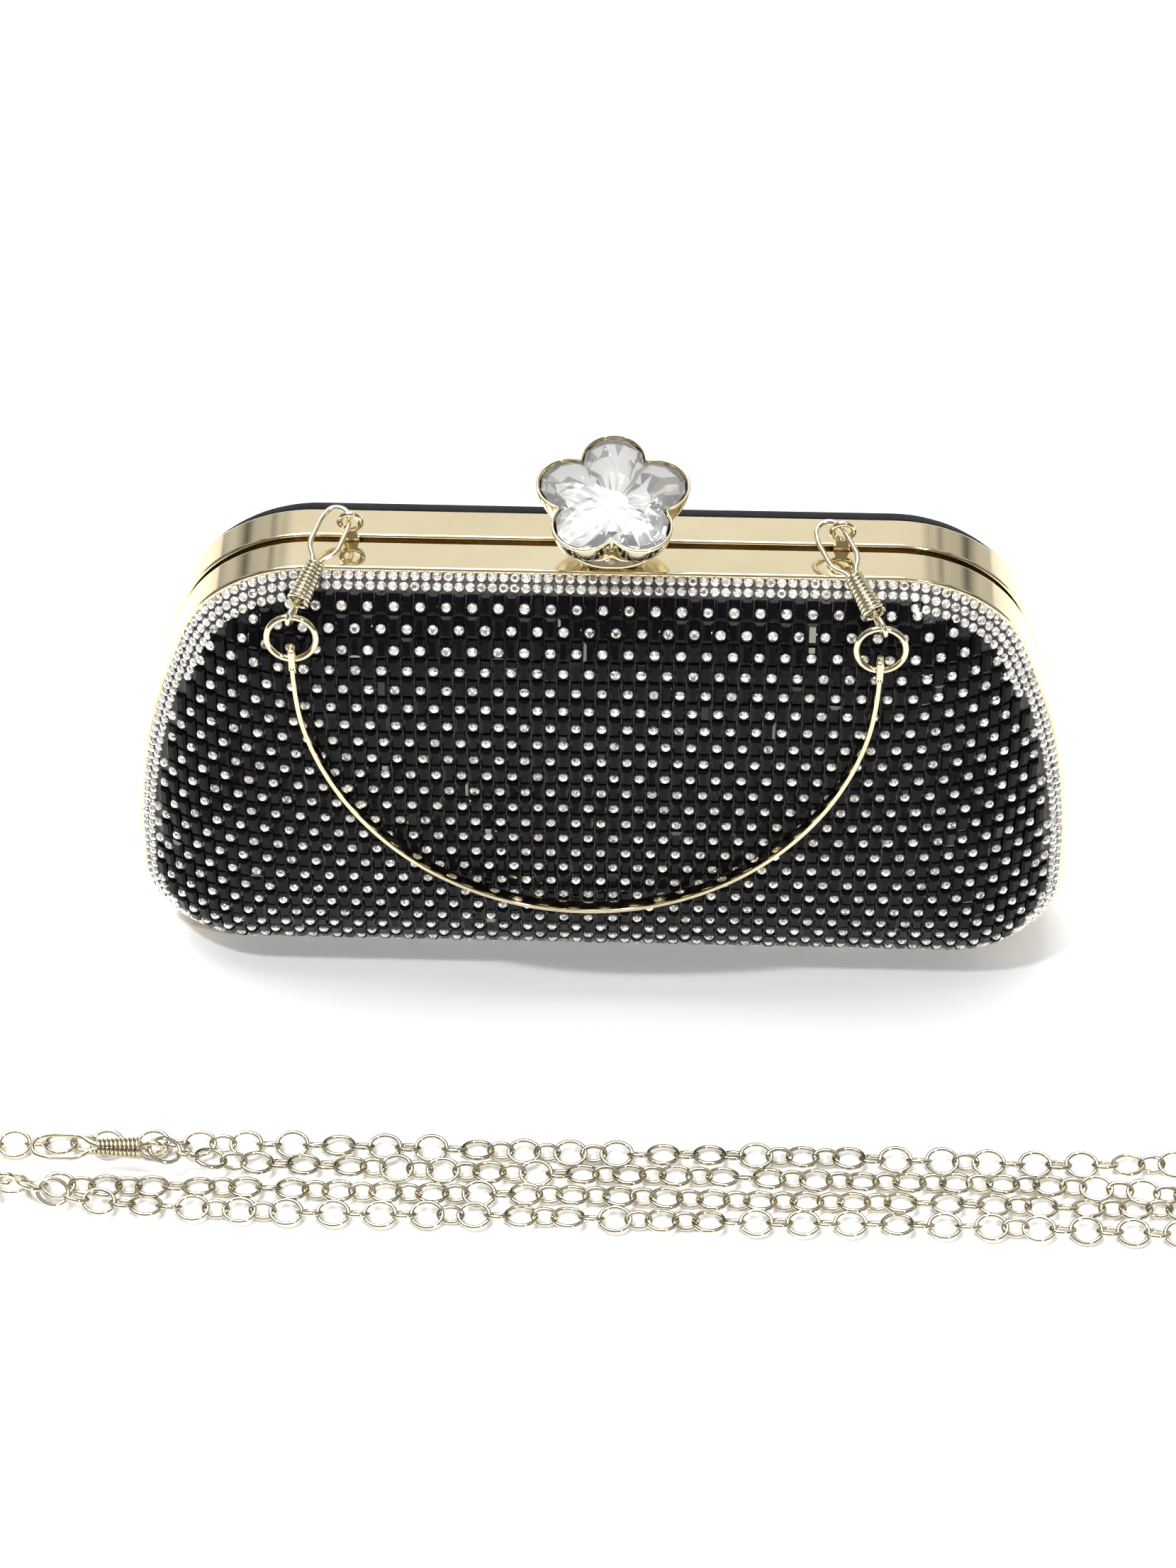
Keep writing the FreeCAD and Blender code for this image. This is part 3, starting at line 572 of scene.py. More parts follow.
def make_light():
    """A surround that is bright behind and above and dark to the front, a broad sun and two small keys."""
    world = bpy.data.worlds.new("studio_surround")
    bpy.context.scene.world = world
    world.use_nodes = True
    nodes, links = world.node_tree.nodes, world.node_tree.links
    back = nodes["Background"]
    place = nodes.new("ShaderNodeTexCoord")
    toward = nodes.new("ShaderNodeVectorMath")
    toward.operation = "DOT_PRODUCT"
    toward.inputs[1].default_value = (0.10, 0.70, 0.70)
    links.new(place.outputs["Generated"], toward.inputs[0])
    shades = [(0.0, grey(0.30)), (0.12, grey(0.34)), (0.3, grey(0.30)), (0.42, grey(0.7)), (0.5, grey(0.92)),
              (1.0, grey(1.0))]
    surround = ramp(nodes, links, toward.outputs["Value"], shades)
    split = nodes.new("ShaderNodeSeparateXYZ")
    links.new(place.outputs["Generated"], split.inputs["Vector"])
    aside = nodes.new("ShaderNodeMath")
    aside.operation = "ABSOLUTE"
    links.new(split.outputs["X"], aside.inputs[0])
    flags = [(0.0, 1), (0.30, 0.97), (0.37, 0.62), (0.42, 0.72), (0.47, 0.35), (0.50, 0.66), (0.60, 0.58),
             (0.64, 0.12), (0.69, 0.75), (0.80, 0.5), (0.85, 0.15), (0.92, 0.85), (1.0, 0.7)]
    bands = ramp(nodes, links, aside.outputs["Value"], [(place_at, grey(level)) for place_at, level in flags])
    banded = nodes.new("ShaderNodeMix")
    banded.data_type, banded.blend_type = "RGBA", "MULTIPLY"
    banded.inputs["Factor"].default_value = 1.0
    links.new(surround, banded.inputs["A"])
    links.new(bands, banded.inputs["B"])
    surround = banded.outputs["Result"]
    seen = nodes.new("ShaderNodeLightPath")
    mixed = nodes.new("ShaderNodeMix")
    mixed.data_type = "RGBA"
    mixed.inputs["B"].default_value = (*grey(0.97), 1)
    links.new(seen.outputs["Is Camera Ray"], mixed.inputs["Factor"])
    links.new(surround, mixed.inputs["A"])
    links.new(mixed.outputs["Result"], back.inputs["Color"])
    back.inputs["Strength"].default_value = 1.0
    sun = bpy.data.lights.new("broad_sun", "SUN")
    sun.energy, sun.angle = 2.5, 0.7
    place_light(sun, Vector((-0.22, 0.30, 1.2)))
    for name, place, size, power in (
        ("sparkle_left", (-0.45, -0.35, 1.3), 0.07, 7.0),
        ("sparkle_right", (0.5, -0.9, 1.0), 0.10, 7.0),
    ):
        light = bpy.data.lights.new(name, "AREA")
        light.size, light.energy = size, power
        place_light(light, Vector(place))


def place_light(light, place):
    """Hang a light and aim it at the bag."""
    held = bpy.data.objects.new(light.name, light)
    held.location = place
    held.rotation_mode = "QUATERNION"
    held.rotation_quaternion = (Vector((0, 0, 0.05)) - place).to_track_quat("-Z", "Y")
    bpy.context.scene.collection.objects.link(held)


# ---------------------------------------------------------------- shoulder chain
CHAIN_ROUTE = (
    (-102.9, -84.5, 7.6), (-97.0, -84.4, 5.8), (-87.0, -84.2, 3.0), (-62.0, -83.8, 2.1), (-22.0, -85.1, 2.1),
    (20.0, -84.5, 2.1), (62.0, -85.4, 2.1), (100.0, -84.8, 2.1), (126.0, -86.0, 2.1), (143.0, -88.0, 2.4),
    (151.0, -84.8, 2.6), (149.0, -78.2, 2.4), (138.0, -78.0, 2.1), (112.0, -79.2, 2.1), (78.0, -78.6, 2.1),
    (38.0, -78.1, 2.1), (-2.0, -78.9, 2.1), (-42.0, -78.0, 2.1), (-78.0, -77.8, 2.1), (-112.0, -78.6, 2.1),
    (-144.0, -79.4, 2.1), (-158.5, -81.4, 2.1), (-161.0, -87.4, 2.1), (-152.0, -91.0, 2.1),
    (-122.0, -91.6, 2.1),
    (-86.0, -90.7, 2.1), (-46.0, -91.7, 2.1), (-6.0, -90.9, 2.1), (40.0, -91.8, 2.1), (84.0, -91.0, 2.1),
    (120.0, -91.8, 2.1), (139.0, -91.4, 2.4), (150.0, -93.4, 2.6), (149.6, -99.0, 2.4), (139.0, -98.6, 2.1),
    (110.0, -97.9, 2.1), (70.0, -97.5, 2.1), (26.0, -98.2, 2.1), (-20.0, -97.4, 2.1), (-60.0, -98.1, 2.1),
    (-96.0, -97.3, 2.1), (-119.0, -96.6, 2.6), (-130.5, -95.2, 5.0), (-137.1, -94.6, 7.6),
)
LINK_WIRE = 1.1
BIG_LINK, SMALL_LINK = (8.6, 7.4), (7.0, 4.7)
LINK_SIDES, WIRE_SIDES = 26, 8
LINK_STEP = (BIG_LINK[0] + SMALL_LINK[0] - 4 * LINK_WIRE) / 2


class BAG_OT_chain(bpy.types.Operator):
    """The shoulder chain: big and small oval links along a folded route, and its two end hooks."""

    bl_idname = "bag.chain"
    bl_label = "Shoulder chain"

    def execute(self, context):
        line = smooth_route("chain_route", CHAIN_ROUTE)
        chain = make_links("chain_links", line)
        gold = material_named("chain_plate", lambda name: metal(
            name, (0.78, 0.73, 0.58), (0.56, 0.51, 0.39), 0.03, 0.12))
        finish_piece(chain, "chain", "pale_gold", gold, "shoulder_chain")
        for end in ("near", "far"):
            coil = wind_hook(f"chain_hook_{end}")
            finish_piece(coil, "chain", "hook_metal", hook_wire_metal(), f"chain_hook_{end}_coil")
        return {"FINISHED"}


def smooth_route(name, points):
    """Points along the smooth line that a route's points control, in metres."""
    curve = bpy.data.curves.new(name, "CURVE")
    curve.dimensions = "3D"
    curve.resolution_u = 12
    spline = curve.splines.new("NURBS")
    spline.points.add(len(points) - 1)
    for held, place in zip(spline.points, points):
        held.co = (*(Vector(place) * MM), 1)
    spline.order_u = 3
    spline.use_endpoint_u = True
    holder = bpy.data.objects.new(name, curve)
    mesh = bpy.data.meshes.new_from_object(holder)
    line = [v.co.copy() for v in mesh.vertices]
    bpy.data.objects.remove(holder)
    bpy.data.curves.remove(curve)
    bpy.data.meshes.remove(mesh)
    return [p for k, p in enumerate(line) if k == 0 or (p - line[k - 1]).length > 0.1 * MM]


def walk(line, step):
    """Places and headings at even steps along a line."""
    found, left = [], 0.0
    for a, b in zip(line, line[1:]):
        run = (b - a).length
        while left <= run and run > 0:
            found.append((a.lerp(b, left / run), (b - a).normalized()))
            left += step
        left -= run
    return found


def make_links(name, line):
    """Every link of the chain as a bent oval of wire, tilted against its neighbours."""
    rng = random.Random(7)
    points, faces = [], []
    for k, (middle, heading) in enumerate(walk(line, LINK_STEP * MM)):
        long, wide = BIG_LINK if k % 2 == 0 else SMALL_LINK
        side = heading.cross(Vector((0, 0, 1))).normalized()
        up = side.cross(heading)
        lean = math.radians(rng.uniform(6, 20) if k % 2 == 0 else -rng.uniform(30, 50))
        if rng.random() < 0.25:
            lean = -lean
        across = side * math.cos(lean) + up * math.sin(lean)
        a, b = (long - LINK_WIRE) / 2 * MM, (wide - LINK_WIRE) / 2 * MM
        turns = [TURN * t / LINK_SIDES for t in range(LINK_SIDES)]
        loop = [middle + heading * (a * math.cos(turn)) + across * (b * math.sin(turn)) for turn in turns]
        rings = tube_rings(loop, LINK_WIRE / 2 * MM, WIRE_SIDES, heading.cross(across), closed=True)
        ring_points, ring_faces = loft(rings + [rings[0]])
        first = len(points)
        points += ring_points[:-WIRE_SIDES]
        count = len(rings) * WIRE_SIDES
        faces += [tuple(first + (v % count) for v in face) for face in ring_faces]
    return mesh_piece(name, points, faces)


# ---------------------------------------------------------------- crystal front
BAGUETTE = (
    [(-.5, -.5, 0), (.5, -.5, 0), (.5, .5, 0), (-.5, .5, 0), (-.5, -.5, .55), (.5, -.5, .55), (.5, .5, .55),
     (-.5, .5, .55), (-.27, -.36, 1), (.27, -.36, 1), (.27, .36, 1), (-.27, .36, 1)],
    [(0, 1, 5, 4), (1, 2, 6, 5), (2, 3, 7, 6), (3, 0, 4, 7), (4, 5, 9, 8), (5, 6, 10, 9), (6, 7, 11, 10),
     (7, 4, 8, 11), (8, 9, 10, 11)],
)
TRIM_ARCS = (1.3, 3.75, 6.3)
CORNER_CLEAR = 7.2
TRIM_WIDTH = 5.0
STONE_SINK = 1.2


def round_stone(sides=10):
    """A brilliant-cut round stone of unit diameter and unit height."""
    points, faces = [], []
    for radius, up, shift in ((0.46, 0.0, 0.0), (0.5, 0.38, 0.0), (0.40, 0.72, 0.5), (0.22, 1.0, 0.0)):
        for k in range(sides):
            angle = TURN * (k + shift) / sides
            points.append((radius * math.cos(angle), radius * math.sin(angle), up))
    for k in range(sides):
        n = (k + 1) % sides
        faces.append((k, n, sides + n, sides + k))
        faces.append((sides + k, sides + n, 2 * sides + k))
        faces.append((sides + n, 2 * sides + n, 2 * sides + k))
        faces.append((2 * sides + k, 3 * sides + n, 3 * sides + k))
        faces.append((2 * sides + k, 2 * sides + n, 3 * sides + n))
    faces.append(tuple(range(3 * sides, 4 * sides)))
    return points, faces


class BAG_OT_crystals(bpy.types.Operator):
    """The stone-set front: two edge rows of round stones round a checkerboard of black and clear ones."""

    bl_idname = "bag.crystals"
    bl_label = "Crystal front"

    def execute(self, context):
        held = settings()
        black = material_named("black_cut_glass", lambda name: black_glass(name, held))
        clear = material_named("foiled_crystal", lambda name: cut_crystal(name, held))
        net = make_net()
        finish_piece(net, "case_front", "crystal_black", stone_net("stone_mesh"))
        bars, seats, rounds = grid_places(held)
        bars = scatter("black_baguettes", BAGUETTE, bars, 11)
        finish_piece(bars, "case_front", "crystal_black", black, "crystal_panel")
        seats = scatter("black_seats", BAGUETTE, seats, 12)
        finish_piece(seats, "case_front", "crystal_black", black)
        rounds = scatter("clear_rounds", round_stone(), rounds, 13)
        finish_piece(rounds, "case_front", "crystal_clear", clear)
        edge = scatter("edge_rounds", round_stone(), trim_places(held), 14)
        finish_piece(edge, "case_front", "crystal_clear", clear, "crystal_trim")
        return {"FINISHED"}


def make_net():
    """The mesh backing just over the front shell."""
    points, faces = loft(pillow_rings(-STONE_SINK + 0.15, FRONT_BULGE, -1))
    return mesh_piece("stone_backing", points, [face[::-1] for face in faces])


def arc_table():
    """Arc length down the shell's profile against the inset."""
    insets = np.linspace(EDGE_INSET, 54, 600)
    depth = depth_at(insets)
    arcs = np.concatenate([[0], np.cumsum(np.hypot(np.diff(insets), np.diff(depth)))])
    return insets, arcs


def row_lines(cell):
    """Heights of the lines between rows, even along the middle profile."""
    up = np.linspace(EDGE_INSET, HEIGHT - EDGE_INSET, 1200)
    points = front_points(np.zeros_like(up), up)
    arcs = np.concatenate([[0], np.cumsum(np.linalg.norm(np.diff(points, axis=0), axis=1))])
    first, last = TRIM_WIDTH, arcs[-1] - TRIM_WIDTH
    count = round((last - first) / cell)
    return np.interp(np.linspace(last, first, count + 1), arcs, up)


def grid_places(held):
    """Where the black bars, the black seats and the round stones of the checkerboard go."""
    rng = random.Random(5)
    insets, arcs = arc_table()
    bars, seats, rounds = [], [], []
    lines = row_lines(held.cell_tall)
    for row, (top, base) in enumerate(zip(lines, lines[1:])):
        middle = (top + base) / 2
        x = np.linspace(0, 111.5, 900)
        run = front_points(x, np.full_like(x, middle))
        run_arc = np.concatenate([[0], np.cumsum(np.linalg.norm(np.diff(run, axis=0), axis=1))])
        reach = int(run_arc[-1] / held.cell_wide) + 1
        for column in range(-reach, reach + 1):
            across = float(np.interp(abs(column) * held.cell_wide, run_arc, x)) * (1 if column >= 0 else -1)
            if abs(column) * held.cell_wide > run_arc[-1]:
                continue
            cell = stone_frame(across, middle, top, base)
            arc = float(np.interp(inset_at(across, middle), insets, arcs))
            if arc < (CORNER_CLEAR if at_corner(across, middle) else TRIM_WIDTH + 0.6):
                continue
            origin, side, up, out, tall = cell
            tilt = rng.gauss(0, 0.035)
            up_t = up * math.cos(tilt) + out * math.sin(tilt)
            out_t = out * math.cos(tilt) - up * math.sin(tilt)
            whole = arc > TRIM_WIDTH + min(tall, held.cell_tall) * 0.35
            if (row + column) % 2 and whole:
                lean = rng.gauss(0, 0.05)
                side_t = side * math.cos(lean) + out_t * math.sin(lean)
                out_t = out_t * math.cos(lean) - side * math.sin(lean)
                bars.append((origin, side_t, up_t, out_t, held.cell_wide * 0.93, tall * 0.95, 1.25))
                continue
            centre = origin - up * (tall * 0.14 if whole else 0)
            size = held.round_size * rng.uniform(0.97, 1.04)
            rounds.append((centre + out * 0.12, side, up, out, size, size, 1.25))
            if whole:
                wide = held.cell_wide
                seats.append((origin + up * (tall * 0.27), side, up_t, out_t, wide * 0.86, tall * 0.36, 0.85))
                seats.append((origin - up * (tall * 0.2), side, up, out, wide * 0.96, tall * 0.55, 0.5))
    return bars, seats, rounds


def stone_frame(x, z, top, base):
    """Origin on the net, directions and height of the cell at (x, z)."""
    point = Vector(front_points(np.array(x), np.array(z)))
    out = Vector(front_normals(np.array(x), np.array(z)))
    high = Vector(front_points(np.array(x), np.array(top)))
    low = Vector(front_points(np.array(x), np.array(base)))
    up = high - low
    tall = up.length
    up = (up - out * up.dot(out)).normalized()
    side = up.cross(out)
    return point - out * STONE_SINK, side, up, out, tall


def at_corner(x, z):
    """Whether a point is out beyond the centre of the nearest rounded corner."""
    (top_x, top_z, _), (base_x, base_z, _) = corners(0)
    return (abs(x) > top_x and z > top_z) or (abs(x) > base_x and z < base_z)


def trim_places(held):
    """Two rows of round stones round the edge of the front, and a third row round its corners."""
    insets, arcs = arc_table()
    rng = random.Random(9)
    places = []
    for arc in TRIM_ARCS:
        inset = float(np.interp(arc, arcs, insets))
        loop = [Vector((x, 0, z)) for x, z in outline(inset, 3)]
        around = sum((b - a).length for a, b in zip(loop, loop[1:] + loop[:1]))
        count = round(around / held.trim_pitch)
        slope = FRONT_BULGE / FRONT_RUN * math.exp(-(inset - EDGE_INSET) / FRONT_RUN)
        depth = -(HALF_DEPTH + float(depth_at(inset)))
        for point, heading in walk(loop + loop[:1], around / count)[:count]:
            if arc == TRIM_ARCS[-1] and not at_corner(point.x, point.z):
                continue
            edge = Vector((heading.z, 0, -heading.x)) * -1
            out = (edge * slope + Vector((0, -1, 0))).normalized()
            up = out.cross(heading).normalized()
            size = held.round_size * rng.uniform(0.90, 0.96)
            origin = point + Vector((0, depth, 0)) - out * (STONE_SINK - 0.1)
            places.append((origin, heading, up, out, size, size, 1.1))
    return places


# ---------------------------------------------------------------- velvet back and linings
class BAG_OT_cloth(bpy.types.Operator):
    """The velvet back, the satin linings and the slip pocket."""

    bl_idname = "bag.cloth"
    bl_label = "Velvet and linings"

    def execute(self, context):
        held = settings()
        rng = random.Random(21)
        waves = [(rng.uniform(0.01, 0.05), rng.uniform(0, TURN)) for _ in range(6)]

        def pile_drift(k, inset):
            return sum(0.035 * math.sin(a * (inset * 9 + k * 3) + b) for a, b in waves) * min(1, inset / 12)

        points, faces = loft(pillow_rings(0.0, BACK_BULGE, 1, ripple=pile_drift))
        velvet = mesh_piece("velvet_back", points, faces)
        velvet = thicken(velvet, 0.7)
        finish_piece(velvet, "case_back", "velvet", velvet_cloth("black_velvet", held), "velvet_cover")
        colour = tuple(held.lining_colour)
        satin = satin_cloth("lining_satin", colour, tuple(0.6 * c for c in colour))
        for name, body, lift, bulge, side, node in (
            ("front_lining_satin", "case_front", -2.95, FRONT_BULGE, -1, "front_lining"),
            ("back_lining_satin", "case_back", -2.55, BACK_BULGE, 1, "back_lining"),
        ):
            lining = make_lining(name, lift, bulge, side)
            finish_piece(lining, body, "lining", satin, node)
        pocket, cut = make_pocket()
        finish_piece(pocket, "case_back", "lining", satin, "slip_pocket")
        return {"FINISHED"}


def thicken(piece, thick):
    """Give an open skin its thickness, towards its inside."""
    added = piece.modifiers.new("thickness", "SOLIDIFY")
    added.thickness = thick * MM
    added.offset = -1.0
    bpy.context.view_layer.objects.active = piece
    piece.select_set(True)
    bpy.ops.object.modifier_apply(modifier=added.name)
    piece.select_set(False)
    return piece


def make_lining(name, lift, bulge, side):
    """Satin glued into a shell, with the small gathers it takes round the corners."""
    count = len(outline(0))

    def gathers(k, inset):
        corner = 0.5 + 0.5 * math.cos(4 * TURN * k / count)
        return -0.12 * (1 + math.sin(k * 1.9)) * corner * math.exp(-inset / 14)

    insets = [i for i in SKIN_INSETS if i >= 4.0]
    points, faces = loft(pillow_rings(lift, bulge, side, insets, gathers))
    if side < 0:
        faces = [face[::-1] for face in faces]
    return thicken(mesh_piece(name, points, faces), 0.4)


def make_pocket():
    """An open-topped satin pocket: a softly bowed panel, and sides that run back to the lining."""
    half, low, high, near, deep = 54.5, 22.5, 83.6, HALF_DEPTH + 3.9, HALF_DEPTH + 12.6
    across_steps, up_steps = 44, 22
    rows = []
    for j in range(up_steps + 1):
        up = j / up_steps
        level = low + (high - low) * up
        row = []
        for side_turn in (-1, None, 1):
            if side_turn is None:
                for i in range(across_steps + 1):
                    share = 2 * i / across_steps - 1
                    sag = 0.55 * math.cos(share * math.pi / 2) * (up ** 2)
                    wave = 0.12 * math.sin(9 * share) * up
                    row.append((half * share, near - 0.1 + wave + 0.25 - sag, level))
            elif side_turn < 0:
                row += [(-half - 0.02 * (5 - s), near + (deep - near) * (1 - s / 5), level) for s in range(5)]
            else:
                row += [(half + 0.02 * s, near + (deep - near) * s / 5, level) for s in range(1, 6)]
        rows.append([Vector(p) * MM for p in row])
    points, faces = loft(rows, closed=False)
    panel = thicken(mesh_piece("slip_pocket_satin", points, faces), 0.45)
    wide = 2 * half + 2 * (deep - near)
    return panel, (wide * MM, (high - low) * MM)


# ---------------------------------------------------------------- flower clasp
FLOWER_ROOT = Vector((1.8, -2.0, 134.4))
FLOWER_LEAN = math.radians(7.0)
FLOWER_RADIUS, FLOWER_HEIGHT = 18.3, 15.8
LEVEL_TOP = 12.6
NOTCH = 0.70


def petal_loop(radius, per_petal=14, lobes=1.0):
    """A five-petal outline from petal arcs, eased towards a circle as lobes falls to 0."""
    loop = []
    for petal in range(5):
        start = -math.pi / 2 + petal * TURN / 5
        tip_turn = start + TURN / 10
        a = Vector((math.cos(start), math.sin(start))) * NOTCH * radius
        b = Vector((math.cos(start + TURN / 5), math.sin(start + TURN / 5))) * NOTCH * radius
        tip = Vector((math.cos(tip_turn), math.sin(tip_turn))) * radius
        middle = (a + b) / 2
        half, rise = (b - a).length / 2, (tip - middle).length
        arc_radius = (half ** 2 + rise ** 2) / (2 * rise)
        centre = tip - tip.normalized() * arc_radius
        first = math.atan2(a.y - centre.y, a.x - centre.x)
        sweep = math.atan2(b.y - centre.y, b.x - centre.x) - first
        while sweep <= 0:
            sweep += TURN
        for k in range(per_petal):
            angle = first + sweep * k / per_petal
            point = centre + Vector((math.cos(angle), math.sin(angle))) * arc_radius
            level = point.normalized() * radius * 0.86
            loop.append(level.lerp(point, lobes))
    return loop


def flower_point(x, y, up):
    """A point of the flower in the case's frame, in metres."""
    turn = Matrix.Rotation(FLOWER_LEAN, 3, "X")
    return (FLOWER_ROOT + turn @ Vector((x, y, up))) * MM


class BAG_OT_flower(bpy.types.Operator):
    """The flower knob: polished petal cup with a fluted neck, and the cut crystal in it."""

    bl_idname = "bag.flower"
    bl_label = "Flower clasp"

    def execute(self, context):
        finish_piece(make_cup(), "flower_clasp", "pale_gold", pale_gold(), "flower_cup")
        stone, foil = make_flower_stone()
        glass = clear_glass("flower_crystal_glass")
        finish_piece(stone, "flower_clasp", "crystal_clear", glass, "flower_crystal")
        # The foil's facets carry painted reflections: 22% are painted dark, a few are painted warm, and the
        # rest are bright painted sparkle.
        mirror = cut_crystal("flower_foil", settings(), 0.22)
        mirror.node_tree.nodes["Principled BSDF"].inputs["Metallic"].default_value = 0.4
        finish_piece(foil, "flower_clasp", "crystal_clear", mirror)
        return {"FINISHED"}


def make_cup():
    """The cup's wall from its neck, over a bead, up the petals and down inside the rim."""
    radius, height = FLOWER_RADIUS, FLOWER_HEIGHT
    levels = (
        (0.0, 0.41, 0.0), (0.9, 0.42, 0.0), (2.2, 0.47, 0.0), (3.5, 0.56, 0.0), (4.3, 0.66, 0.02),
        (4.7, 0.74, 0.05), (5.2, 0.765, 0.08), (5.7, 0.745, 0.2), (6.1, 0.77, 0.45), (6.9, 0.85, 0.75),
        (8.2, 0.92, 0.95), (10.0, 0.965, 1.0), (11.8, 0.99, 1.0), (12.3, 1.0, 1.0), (12.6, 0.992, 1.0),
        (12.7, 0.975, 1.0), (12.6, 0.955, 1.0), (12.2, 0.945, 1.0),
        (11.2, 0.935, 1.0), (9.6, 0.90, 1.0), (7.6, 0.80, 0.9), (6.6, 0.66, 0.3), (6.4, 0.30, 0.0),
    )
    rings = []
    for up, share, lobes in levels:
        loop = petal_loop(radius * share if lobes > 0.3 else radius * share / 0.86, 14, lobes)
        flute = 0.02 if up < 4.0 else 0.0
        ring = []
        for k, point in enumerate(loop):
            point = point * (1 + flute * math.cos(TURN * k * 15 / len(loop)))
            ring.append(flower_point(point.x, point.y, up * height / LEVEL_TOP))
        rings.append(ring)
    points, faces = loft(rings, start_cap=True, end_cap=True)
    cup = outward(mesh_piece("flower_cup_gold", points, faces))
    added = cup.modifiers.new("smooth", "SUBSURF")
    added.levels = added.render_levels = 1
    return cup


def make_flower_stone():
    """The clear crystal with facets rayed from its middle, and the facetted foil behind it."""
    inner, height = FLOWER_RADIUS * 0.93, FLOWER_HEIGHT
    rng = random.Random(31)

    def loop(share, count, up, lobes, shift=0.0):
        full = petal_loop(inner * share, 20, lobes)
        ring = []
        for k in range(count):
            point = full[int(round((k + shift) * len(full) / count)) % len(full)]
            ring.append(flower_point(point.x, point.y, up))
        return ring

    def join(faces, low_first, high_first, count):
        for k in range(count):
            n = (k + 1) % count
            faces.append((low_first + k, low_first + n, high_first + k))
            faces.append((low_first + n, high_first + n, high_first + k))

    count = 30
    levels = [
        loop(0.90, count, height - 1.9, 1.0), loop(1.0, count, height - 1.0, 1.0),
        loop(1.0, count, height - 0.5, 1.0), loop(0.80, count, height + 0.55, 0.95, 0.5),
        loop(0.56, count, height + 1.15, 0.7), loop(0.30, count, height + 1.5, 0.3, 0.5),
    ]
    points = [p for ring in levels for p in ring]
    faces = []
    for row in range(len(levels) - 1):
        join(faces, row * count, (row + 1) * count, count)
    points.append(flower_point(0, 0, height + 1.62))
    last = (len(levels) - 1) * count
    faces += [(last + k, last + (k + 1) % count, len(points) - 1) for k in range(count)]
    pavilion = [loop(0.55, count, height - 3.9, 0.8, 0.5), loop(0.2, count, height - 5.4, 0.2)]
    first = len(points)
    points += [p for ring in pavilion for p in ring]
    root = len(points)
    points.append(flower_point(0, 0, height - 5.9))
    join(faces, first, 0, count)
    join(faces, first + count, first, count)
    faces += [(first + count + (k + 1) % count, first + count + k, root) for k in range(count)]
    stone = outward(mesh_piece("flower_crystal_cut", points, faces, smooth=False))
    foil_rings = [loop(0.92, 40, height - 2.15, 1.0), loop(0.74, 40, height - 3.35, 0.95, 0.5),
                  loop(0.5, 40, height - 4.6, 0.7), loop(0.22, 40, height - 5.75, 0.2, 0.5)]
    foil_points = [p for ring in foil_rings for p in ring] + [flower_point(0, 0, height - 6.2)]
    foil_faces = []
    for row in range(3):
        join(foil_faces, row * 40, (row + 1) * 40, 40)
    foil_faces += [(120 + k, 120 + (k + 1) % 40, 160) for k in range(40)]
    foil = mesh_piece("flower_crystal_foil", foil_points, foil_faces, smooth=False)
    set_face_value(foil, "glint", [rng.random() for _ in foil.data.polygons])
    return stone, foil


# ---------------------------------------------------------------- hooks and wrist band
COIL_WIRE = 0.5
COIL_NARROW, COIL_WIDE = 1.65, 2.4


def hook_wire_metal():
    return material_named("hook_plate", lambda name: metal(
        name, (0.80, 0.73, 0.55), (0.66, 0.59, 0.42), 0.08, 0.2))


def wind_hook(hook):
    """A close-wound coil of round wire where a hook's sleeve is, along the sleeve's own axis."""
    node = frame["nodes"][f"{hook}_coil"]
    places = np.array([v.co for v in node.data.vertices])
    middle = places.mean(axis=0)
    _, _, axes = np.linalg.svd(places - middle, full_matrices=False)
    spans = [np.ptp((places - middle) @ axis) for axis in axes]
    along = Vector(axes[int(np.argmax(spans))])
    eye = np.array([v.co for v in frame["nodes"][f"{hook}_eye"].data.vertices]).mean(axis=0)
    if along.dot(Vector(middle - eye)) < 0:
        along = -along
    length = max(spans)
    low = float(((places - middle) @ np.array(along)).min())
    start = Vector(middle) + along * low
    side = along.orthogonal().normalized()
    other = along.cross(side)
    wire = COIL_WIRE * MM
    turns = (length - 2 * wire) / (2 * wire * 1.04)
    steps = int(turns * 18)
    line = []
    for k in range(steps + 1):
        angle = TURN * turns * k / steps
        rise = wire + (length - 2 * wire) * k / steps
        radius = (COIL_WIDE + (COIL_NARROW - COIL_WIDE) * k / steps) * MM
        line.append(start + along * rise + (side * math.cos(angle) + other * math.sin(angle)) * radius)
    points, faces = loft(tube_rings(line, wire * 0.97, 8, along), start_cap=True, end_cap=True)
    return mesh_piece(f"{hook}_winding", points, faces)


def band_section():
    """The band's section: two flat strips laid face to face, with a groove between their edges."""
    half = [(0.0, 1.36), (0.10, 1.52), (0.28, 1.6), (0.45, 1.52), (0.55, 1.3), (0.56, 0.6)]
    right = half + [(a, -b) for a, b in half[::-1]]
    return right + [(-a, b) for a, b in right[::-1] if a > 0]


class BAG_OT_handle(bpy.types.Operator):
    """The hooks' wound sleeves, the wrist band and its ribbed ends."""

    bl_idname = "bag.handle"
    bl_label = "Hooks and wrist band"

    def execute(self, context):
        for hook in ("hook_left", "hook_right"):
            finish_piece(wind_hook(hook), hook, "hook_metal", hook_wire_metal(), f"{hook}_coil")
        finish_piece(make_band(), "wrist_handle", "pale_gold", pale_gold(), "wrist_band")
        for side in ("left", "right"):
            end = make_band_end(f"band_end_{side}")
            finish_piece(end, "wrist_handle", "pale_gold", pale_gold(), f"band_end_{side}")
        return {"FINISHED"}


